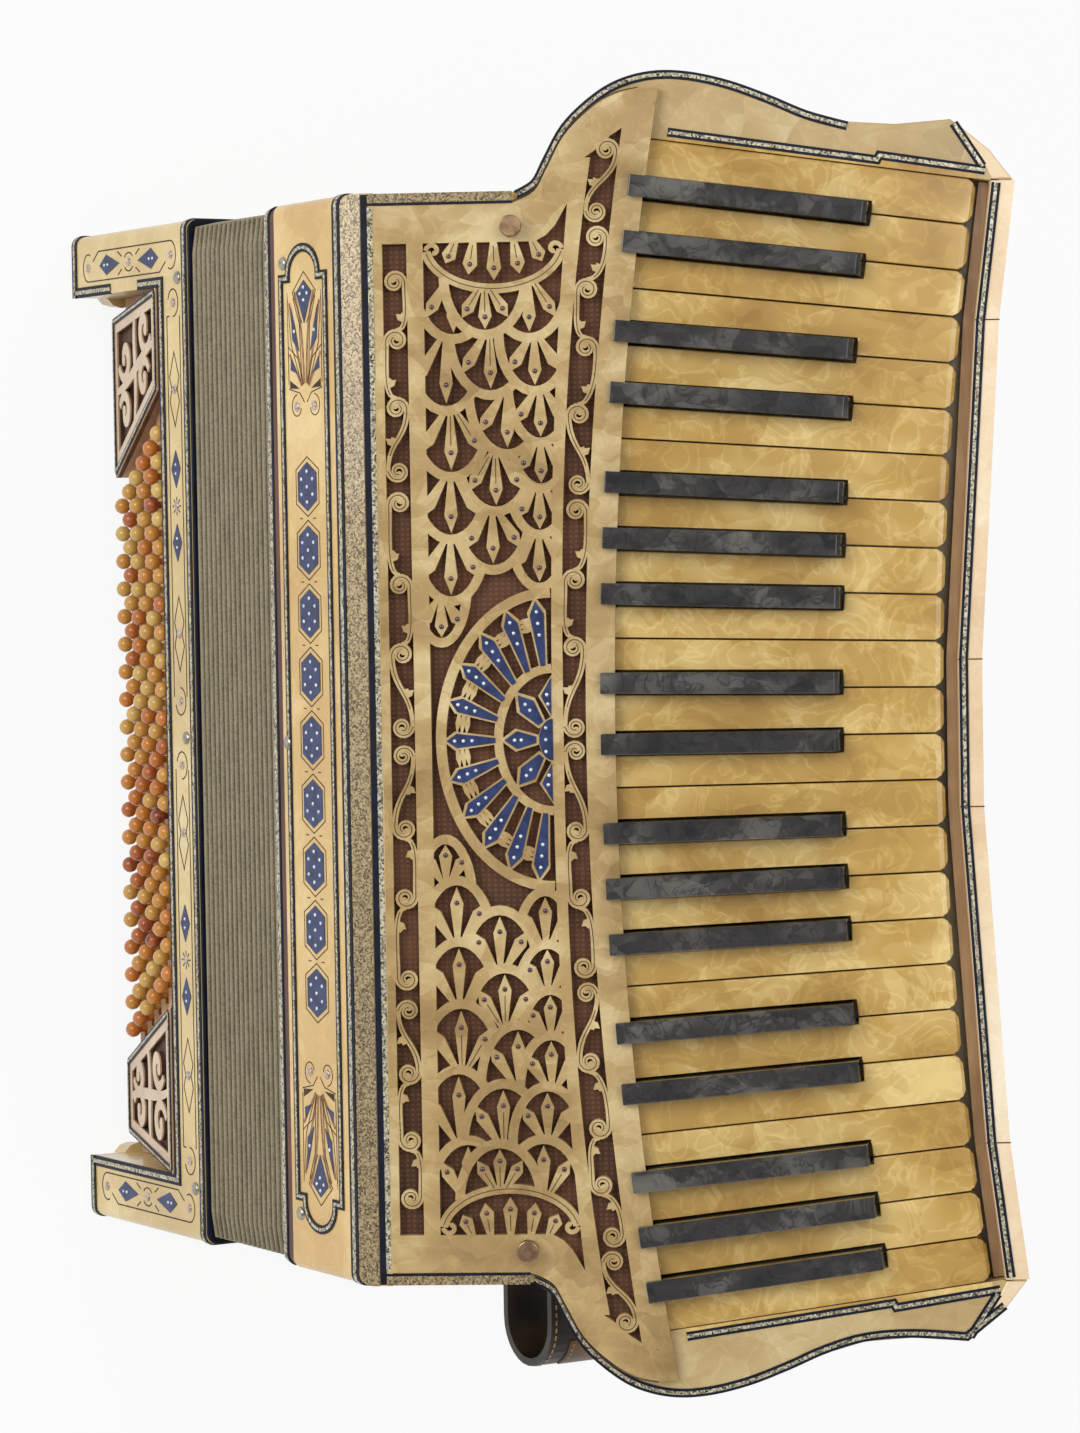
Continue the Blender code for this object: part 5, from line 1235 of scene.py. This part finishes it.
def make_cheeks():
    """Carved scroll panels at both ends of the button recess, with painted shade in the openings and on the carving's
    lower walls.
    """
    recess, low, high = HALF - ARM_WIDTH - 0.0003, 0.0168, 0.0960
    carving, shade_backing, runs = bmesh.new(), bmesh.new(), []

    def tilted(x, z, out):
        depth = 0.0085 + 0.0030 * ((BASS_HIGH[2] - 0.0283 - z) / 0.0135 - 0.5) - 0.0050
        return Vector((x, FRONT_Y + depth - out, z))
    for side, reach in ((-1, (0.0462, 0.0844)), (1, (0.0764, 0.0446))):
        corners = [(side * (recess - 0.010), low), (side * recess, high), (side * (recess - reach[0]), high),
                   (side * (recess - reach[1]), low)]
        # Painted shade: a dark sheet behind the carving's openings.
        prism(shade_backing, corners[::side], 0.0000, 0.0003, tilted)
        left, right = offsets(corners, 0.0150, closed=True)
        opening = left if abs(left[0][0]) < abs(corners[0][0]) else right

        def spot(u, v, corners=corners):
            (ax, az), (bx, bz), (cx, cz), (dx, dz) = corners
            return (ax * (1 - u) * (1 - v) + bx * (1 - u) * v + cx * u * v + dx * u * (1 - v),
                    az * (1 - u) * (1 - v) + bz * (1 - u) * v + cz * u * v + dz * u * (1 - v))
        scrolls = []
        for u, v, radius, start, turns in ((0.27, 0.73, 0.0120, 1.9, 1.0), (0.68, 0.70, 0.0105, 1.2, -1.0),
                                           (0.33, 0.27, 0.0115, 4.4, -1.0), (0.70, 0.26, 0.0100, 5.0, 1.0)):
            centre = spot(u, v)
            spiral = curl(side * centre[0], centre[1], radius, 0.0022, start, turns, 22)
            spiral = [(side * x, z) for x, z in spiral]
            scrolls.append(stroke(spiral, swelling(23, 0.0036, 0.0060, 0.0026)))
            scrolls.append(ellipse(*spiral[-1], 0.0028, 0.0028, steps=10)[:-1])
        for path in (((0.08, 0.52), (0.30, 0.44), (0.60, 0.58), (0.94, 0.46)), ((0.50, 0.94), (0.42, 0.70), (0.58, 0.34), (0.48, 0.06))):
            line = bezier(*(spot(u, v) for u, v in path), 14)
            scrolls.append(stroke(line, swelling(15, 0.0030, 0.0054, 0.0030)))
        whole, hole = Region(corners), Region(opening)
        regions = [Region(outline) for outline in scrolls]

        def solid(x, z, whole=whole, hole=hole, regions=regions):
            return whole.holds(x, z) and (not hole.holds(x, z) or any(region.holds(x, z) for region in regions))
        fretted(carving, [corners, opening] + scrolls, solid, 0.0023, 0.0032, tilted)
        # The carving's top layer is pearl; below it the same shapes, down to the sheet, are painted shade.
        fretted(shade_backing, [corners, opening] + scrolls, solid, 0.0003, 0.0023, tilted)
        left, right = offsets(corners, 0.0032, closed=True)
        rim = left if abs(left[0][0]) < abs(corners[0][0]) else right
        for a, b in zip(rim, rim[1:] + rim[:1]):
            runs.append(([a, b], lambda x, z, out, place=tilted: place(x, z, out + 0.0032), False))
    piece("cheek_painted_shade", shade_backing, "carving painted shade", "bass_side")
    piece("cheek_carving", carving, "carving pearl", "bass_side", 0.0005, 1)
    binding("cheek_binding", runs, "bass_side", width=0.0030)


# Buttons, bellows, keys and straps

def make_buttons(settings):
    """Round buttons on their stems, row by row, each row with its own body."""
    for row in range(6):
        name = f"bass_row_{row + 1}"
        low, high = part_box(name)
        first, last = low[0] + 0.0034, high[0] - 0.0034
        middle = (low[2] + high[2]) / 2
        places = [first + (last - first) * k / 19 for k in range(20)]
        rib = bmesh.new()
        outline = [(low[0], -0.0018), (high[0], -0.0018), (high[0], 0.0018), (low[0], 0.0018)]
        prism(rib, outline, high[1] - 0.0105, high[1], lambda x, z, y, middle=middle: Vector((x, y, middle + z)))
        made = piece(f"bass_ribs_{row + 1}", rib, "board wood", name, 0.0003, 1)
        for part, depth, radius, height in (("stems", 0.0082, 0.0017, 2.3), ("buttons", 0.0036, settings.button_radius, 0.95)):
            studs(f"bass_{part}_{row + 1}", [(x, low[1] + depth, middle) for x in places], radius, height, FRONT_TURN,
                  "amber buttons", name, 12, 8, row)
        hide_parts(name)


def make_bellows(settings):
    width, depth = BELLOWS_HIGH[0] - BELLOWS_LOW[0], BELLOWS_HIGH[1] - BELLOWS_LOW[1]
    low, high = BELLOWS_LOW[2], BELLOWS_HIGH[2]
    start, end = low + 0.0010, high - 0.0094
    centre = ((BELLOWS_HIGH[0] + BELLOWS_LOW[0]) / 2, (BELLOWS_HIGH[1] + BELLOWS_LOW[1]) / 2, start)
    values = {"Width": width, "Depth": depth, "Corner": 0.007, "Height": end - start, "Folds": settings.folds,
              "Fold depth": settings.fold_depth, "Centre": centre, "Finish": finish("bellows cloth")}
    obj = grown("bellows_cloth", bellows_tree(), values, "bass_side")
    obj.parent = None
    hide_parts("bellows")
    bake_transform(obj)
    back = FRONT_Y + DEPTH

    def ring(inset):
        """The body's plan with round corners, drawn in by inset."""
        radius = max(0.001, BODY_ROUND - inset)
        x, y0, y1 = HALF - inset - radius, FRONT_Y + inset + radius, back - inset - radius
        line = []
        for cx, cy, start in ((x, y0, -pi / 2), (x, y1, 0.0), (-x, y1, pi / 2), (-x, y0, pi)):
            line += [(cx + radius * cos(start + k * pi / 10), cy + radius * sin(start + k * pi / 10)) for k in range(6)]
        return line
    layers = (("bass_side", "bellows_edging_low", "navy edging", low, low + 0.0012, 0.0),
              ("treble_side", "bellows_silver_high", "silver glitter", high - 0.0094, high - 0.0058, 0.0004),
              ("treble_side", "bellows_edging_high", "navy edging", high - 0.0058, high - 0.0042, 0.0),
              ("treble_side", "bellows_wood_high", "red wood", high - 0.0042, high, 0.0004))
    for body, name, material, z0, z1, inset in layers:
        bm = bmesh.new()
        tape(bm, ring(inset + 0.0045), 0.0090, z0, z1, lambda x, y, z: Vector((x, y, z)), closed=True)
        piece(name, bm, material, body, 0.0004, 1)


def make_keys():
    for name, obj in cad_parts.items():
        if name.startswith("white_key") or name.startswith("black_key"):
            weld = obj.modifiers.new("Joined", "WELD")
            weld.merge_threshold = 1e-6
            soften(obj, 0.0007 if name.startswith("white") else 0.0010, 2)
            even = obj.modifiers.new("Even shading", "WEIGHTED_NORMAL")
            even.keep_sharp = True
            paint(name, f"white key pearl {int(name[-2:]) % 3 + 1}" if name.startswith("white") else "black key pearl")


def paint(name, material):
    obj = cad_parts[name]
    obj.data.materials.clear()
    obj.data.materials.append(finish(material))


def paint_frame():
    for name, material in (("treble_case", "body pearl"), ("key_bed", "plate pearl"), ("key_rail", "rail pearl"),
                           ("bass_case", "bass pearl"), ("bass_cover", "bass pearl"), ("key_rod", "nickel"),
                           ("grille_cloth_board", "grille cloth"), ("treble_grille", "fretwork pearl"),
                           ("bass_button_board", "board wood"), ("bellows", "bellows cloth"),
                           ("bass_hand_strap", "black leather"), ("shoulder_strap_loop", "black leather"),
                           ("air_button", "amber buttons")):
        paint(name, material)
    for row in range(6):
        paint(f"bass_row_{row + 1}", "amber buttons")


def make_fittings():
    """Thumbscrews of the grille."""
    bm = bmesh.new()
    for sign in (-1, 1):
        for radius, low, high in ((0.0038, 0.0000, 0.0030), (0.0046, 0.0030, 0.0085)):
            outline = ellipse(sign * 0.2156, 0.0635, radius, radius, steps=20)[:-1]
            prism(bm, outline, low, high, slope)
    piece("thumbscrews", bm, "dull brass", "treble_side", 0.0005, 2)


def dashes(bm, start, end, across, step, place):
    """A row of stitches from start to end."""
    count = int((end - start) / step)
    for k in range(count):
        at = start + step * (k + 0.2)
        tape(bm, [(at, across), (at + 0.6 * step, across)], 0.0006, -0.0003, 0.00025, place)


def make_straps():
    """Stitches, a metal bar and a plain leather patch on the shoulder loop; stitches and rivets on the hand strap."""
    low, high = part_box("shoulder_strap_loop")
    radius, middle = (high[2] - low[2]) / 2, (high[2] + low[2]) / 2
    bend = high[0] - radius - low[0]

    def loop(t, y, out):
        """The loop's outer face, t along it from the top of the end wall."""
        if t < bend:
            return Vector((low[0] + t, y, high[2] + out))
        turn = (t - bend) / radius
        if turn < pi:
            return Vector((high[0] - radius + (radius + out) * sin(turn), y, middle + (radius + out) * cos(turn)))
        return Vector((low[0] + 2 * bend + pi * radius - t, y, low[2] - out))
    length = 2 * bend + pi * radius
    stitches, patch, bar = bmesh.new(), bmesh.new(), bmesh.new()
    for y in (low[1] + 0.0024, high[1] - 0.0024):
        dashes(stitches, 0.0060, length - 0.0040, y, 0.0034, loop)
    centre, reach = bend + 0.8 * radius, 0.0085
    tape(patch, [(centre + reach * (k / 5 - 1), (low[1] + high[1]) / 2) for k in range(11)], (high[1] - low[1]) * 0.5,
         -0.0003, 0.0007, loop)
    for y in (low[1] + (high[1] - low[1]) * share for share in (0.29, 0.71)):
        dashes(stitches, centre - reach + 0.0008, centre + reach - 0.0008, y, 0.0026, lambda t, y, out: loop(t, y, out + 0.0007))
    tape(bar, [(0.0030, low[1] + 0.0010), (0.0030, high[1] - 0.0010)], 0.0032, -0.0004, 0.0014, loop)
    piece("loop_stitches", stitches, "waxed thread", "treble_side")
    piece("loop_patch", patch, "brown leather", "treble_side", 0.0002, 1)
    piece("loop_bar", bar, "nickel", "treble_side", 0.0005, 2)
    low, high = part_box("bass_hand_strap")
    reach = (high[0] - low[0]) / 2

    def strap(x, y, out):
        return Vector((x, y, low[2] + 0.0022 * (1 - cos(pi * x / (2 * reach))) - out))
    stitches, rivets = bmesh.new(), bmesh.new()
    for y in (low[1] + 0.0035, high[1] - 0.0035):
        dashes(stitches, 0.0150 - reach, reach - 0.0150, y, 0.0050, strap)
    for sign in (-1, 1):
        for y in (low[1] + 0.0120, high[1] - 0.0120):
            prism(rivets, ellipse(sign * (reach - 0.0080), y, 0.0032, 0.0032, steps=14)[:-1], -0.0003, 0.0008, strap)
    piece("strap_stitches", stitches, "waxed thread", "bass_side")
    piece("strap_rivets", rivets, "nickel", "bass_side", 0.0003, 2)


# Stage

def make_stage():
    mesh = bpy.data.meshes.new("floor")
    mesh.from_pydata([(-6, -6, 0), (6, -6, 0), (6, 6, 0), (-6, 6, 0)], [], [(0, 1, 2, 3)])
    floor = bpy.data.objects.new("floor", mesh)
    bpy.context.scene.collection.objects.link(floor)
    mat = bpy.data.materials.new("pale floor")
    mat.use_nodes = True
    tree = mat.node_tree
    shader = tree.nodes["Principled BSDF"]
    shader.inputs["Base Color"].default_value = (0.82, 0.82, 0.82, 1.0)
    shader.inputs["Roughness"].default_value = 0.9
    path = node(tree, "ShaderNodeLightPath")
    seen = maths(tree, "MAXIMUM", path.outputs["Is Camera Ray"], maths(tree, "MAXIMUM", path.outputs["Is Glossy Ray"],
                                                                       path.outputs["Is Transmission Ray"]))
    glow = node(tree, "ShaderNodeEmission", {"Color": (1.0, 1.0, 1.0, 1.0), "Strength": 1.0})
    share = maths(tree, "MULTIPLY", seen, 0.90)
    mix = node(tree, "ShaderNodeMixShader", {0: share, 1: shader.outputs[0], 2: glow.outputs[0]})
    tree.links.new(mix.outputs[0], tree.nodes["Material Output"].inputs[0])
    mesh.materials.append(mat)
    world = bpy.data.worlds.new("studio")
    bpy.context.scene.world = world
    world.use_nodes = True
    tree = world.node_tree
    back = tree.nodes["Background"]
    path = node(tree, "ShaderNodeLightPath")
    strength = maths(tree, "ADD", maths(tree, "MULTIPLY", path.outputs["Is Camera Ray"], 0.54), 0.46)
    back.inputs["Color"].default_value = (1.0, 1.0, 1.0, 1.0)
    tree.links.new(strength, back.inputs["Strength"])
    for name, place, size, power, aim in (
            ("front light", (-0.9, -2.4, 1.3), 1.6, 33.0, (0, 0, 0.2)),
            ("top light", (-0.6, -0.4, 2.6), 1.8, 18.0, (0, 0, 0.25)),
            ("side light", (2.2, -0.6, 1.2), 1.6, 7.5, (0, 0, 0.2))):
        lamp = bpy.data.lights.new(name, "AREA")
        lamp.shape = "DISK"
        lamp.size = size
        lamp.energy = power
        obj = bpy.data.objects.new(name, lamp)
        obj.location = place
        obj.rotation_euler = (Vector(aim) - Vector(place)).to_track_quat("-Z", "Y").to_euler()
        bpy.context.scene.collection.objects.link(obj)
    scene = bpy.context.scene
    scene.view_settings.view_transform = "Standard"
    make_camera()


def make_camera():
    """The photograph's own view: far off, from above, with the camera on its side."""
    elevation, azimuth, roll = radians(58.19), radians(-3.90), radians(-2.32)
    distance, shift_x, shift_y = 1.8738, -0.0804, 0.01096
    outward = Vector((sin(azimuth) * cos(elevation), -cos(azimuth) * cos(elevation), sin(elevation)))
    view = -outward
    right = Vector((cos(azimuth), sin(azimuth), 0.0))
    up = right.cross(view)
    photo_right = cos(roll) * up + sin(roll) * right
    photo_down = -sin(roll) * up + cos(roll) * right
    target = Vector((0.0, FRONT_Y, 0.268))
    place = target - distance * view - shift_x * photo_right - shift_y * photo_down
    data = bpy.data.cameras.new("camera")
    data.sensor_width = 36.0
    data.lens = 4430.9 / 1433.0 * 36.0
    camera = bpy.data.objects.new("camera", data)
    axes = Matrix((photo_right, -photo_down, -view)).transposed().to_4x4()
    axes.translation = place
    camera.matrix_world = axes
    bpy.context.scene.collection.objects.link(camera)
    bpy.context.scene.camera = camera


# Settings and operators

class AccordionSettings(bpy.types.PropertyGroup):
    folds: bpy.props.IntProperty(name="Folds", description="Number of bellows folds", default=16, min=6, max=30)
    fold_depth: bpy.props.FloatProperty(name="Fold depth", description="How deep each fold is", default=0.0036,
                                        subtype="DISTANCE")
    button_radius: bpy.props.FloatProperty(name="Button radius", description="Radius of a bass button",
                                           default=0.0038, subtype="DISTANCE")


class ACCORDION_OT_frame(bpy.types.Operator):
    """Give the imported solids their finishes"""
    bl_idname = "accordion.frame"
    bl_label = "Cases, bed and boards"

    def execute(self, context):
        paint_frame()
        return {"FINISHED"}


class ACCORDION_OT_fretwork(bpy.types.Operator):
    """Cut the pierced grille with its sun, fans, vines, inlays and stones"""
    bl_idname = "accordion.fretwork"
    bl_label = "Fretwork grille"

    def execute(self, context):
        make_fretwork()
        return {"FINISHED"}


class ACCORDION_OT_bindings(bpy.types.Operator):
    """Lay the navy and glitter binding along the edges"""
    bl_idname = "accordion.bindings"
    bl_label = "Bindings"

    def execute(self, context):
        make_wings()
        make_bindings()
        return {"FINISHED"}


class ACCORDION_OT_front(bpy.types.Operator):
    """Inlay and engrave the treble front"""
    bl_idname = "accordion.front"
    bl_label = "Treble front ornament"

    def execute(self, context):
        make_front_ornament()
        return {"FINISHED"}


class ACCORDION_OT_bass_front(bpy.types.Operator):
    """Inlay and engrave the bass front and carve its cheeks"""
    bl_idname = "accordion.bass_front"
    bl_label = "Bass front ornament"

    def execute(self, context):
        make_bass_ornament()
        make_cheeks()
        return {"FINISHED"}


class ACCORDION_OT_keys(bpy.types.Operator):
    """Round and finish the white and black keys"""
    bl_idname = "accordion.keys"
    bl_label = "Keys"

    def execute(self, context):
        make_keys()
        return {"FINISHED"}


class ACCORDION_OT_buttons(bpy.types.Operator):
    """Set the domed bass buttons"""
    bl_idname = "accordion.buttons"
    bl_label = "Bass buttons"

    def execute(self, context):
        make_buttons(context.scene.accordion)
        return {"FINISHED"}


class ACCORDION_OT_bellows(bpy.types.Operator):
    """Fold the bellows cloth"""
    bl_idname = "accordion.bellows"
    bl_label = "Bellows"

    def execute(self, context):
        make_bellows(context.scene.accordion)
        return {"FINISHED"}


class ACCORDION_OT_fittings(bpy.types.Operator):
    """Add thumbscrews and the strap stitches, bar, patch and rivets"""
    bl_idname = "accordion.fittings"
    bl_label = "Fittings"

    def execute(self, context):
        make_fittings()
        make_straps()
        return {"FINISHED"}


class ACCORDION_OT_stage(bpy.types.Operator):
    """Set the floor, the lamps and the camera"""
    bl_idname = "accordion.stage"
    bl_label = "Stage"

    def execute(self, context):
        make_stage()
        return {"FINISHED"}


STEPS = (ACCORDION_OT_frame, ACCORDION_OT_fretwork, ACCORDION_OT_bindings, ACCORDION_OT_front, ACCORDION_OT_bass_front,
         ACCORDION_OT_keys, ACCORDION_OT_buttons, ACCORDION_OT_bellows, ACCORDION_OT_fittings, ACCORDION_OT_stage)


class ACCORDION_PT_panel(bpy.types.Panel):
    """Lists the accordion's pieces and sizes"""
    bl_idname = "ACCORDION_PT_panel"
    bl_label = "Accordion"
    bl_space_type = "VIEW_3D"
    bl_region_type = "UI"
    bl_category = "Accordion"

    def draw(self, context):
        settings = context.scene.accordion
        for name in ("folds", "fold_depth", "button_radius"):
            self.layout.prop(settings, name)
        for step in STEPS:
            self.layout.operator(step.bl_idname)


def register():
    bpy.utils.register_class(AccordionSettings)
    bpy.types.Scene.accordion = bpy.props.PointerProperty(type=AccordionSettings)
    for step in STEPS:
        bpy.utils.register_class(step)
    bpy.utils.register_class(ACCORDION_PT_panel)


def unregister():
    bpy.utils.unregister_class(ACCORDION_PT_panel)
    for step in reversed(STEPS):
        bpy.utils.unregister_class(step)
    del bpy.types.Scene.accordion
    bpy.utils.unregister_class(AccordionSettings)


def main():
    register()
    for step in STEPS:
        group, name = step.bl_idname.split(".")
        getattr(getattr(bpy.ops, group), name)()


if __name__ == "__main__":
    main()
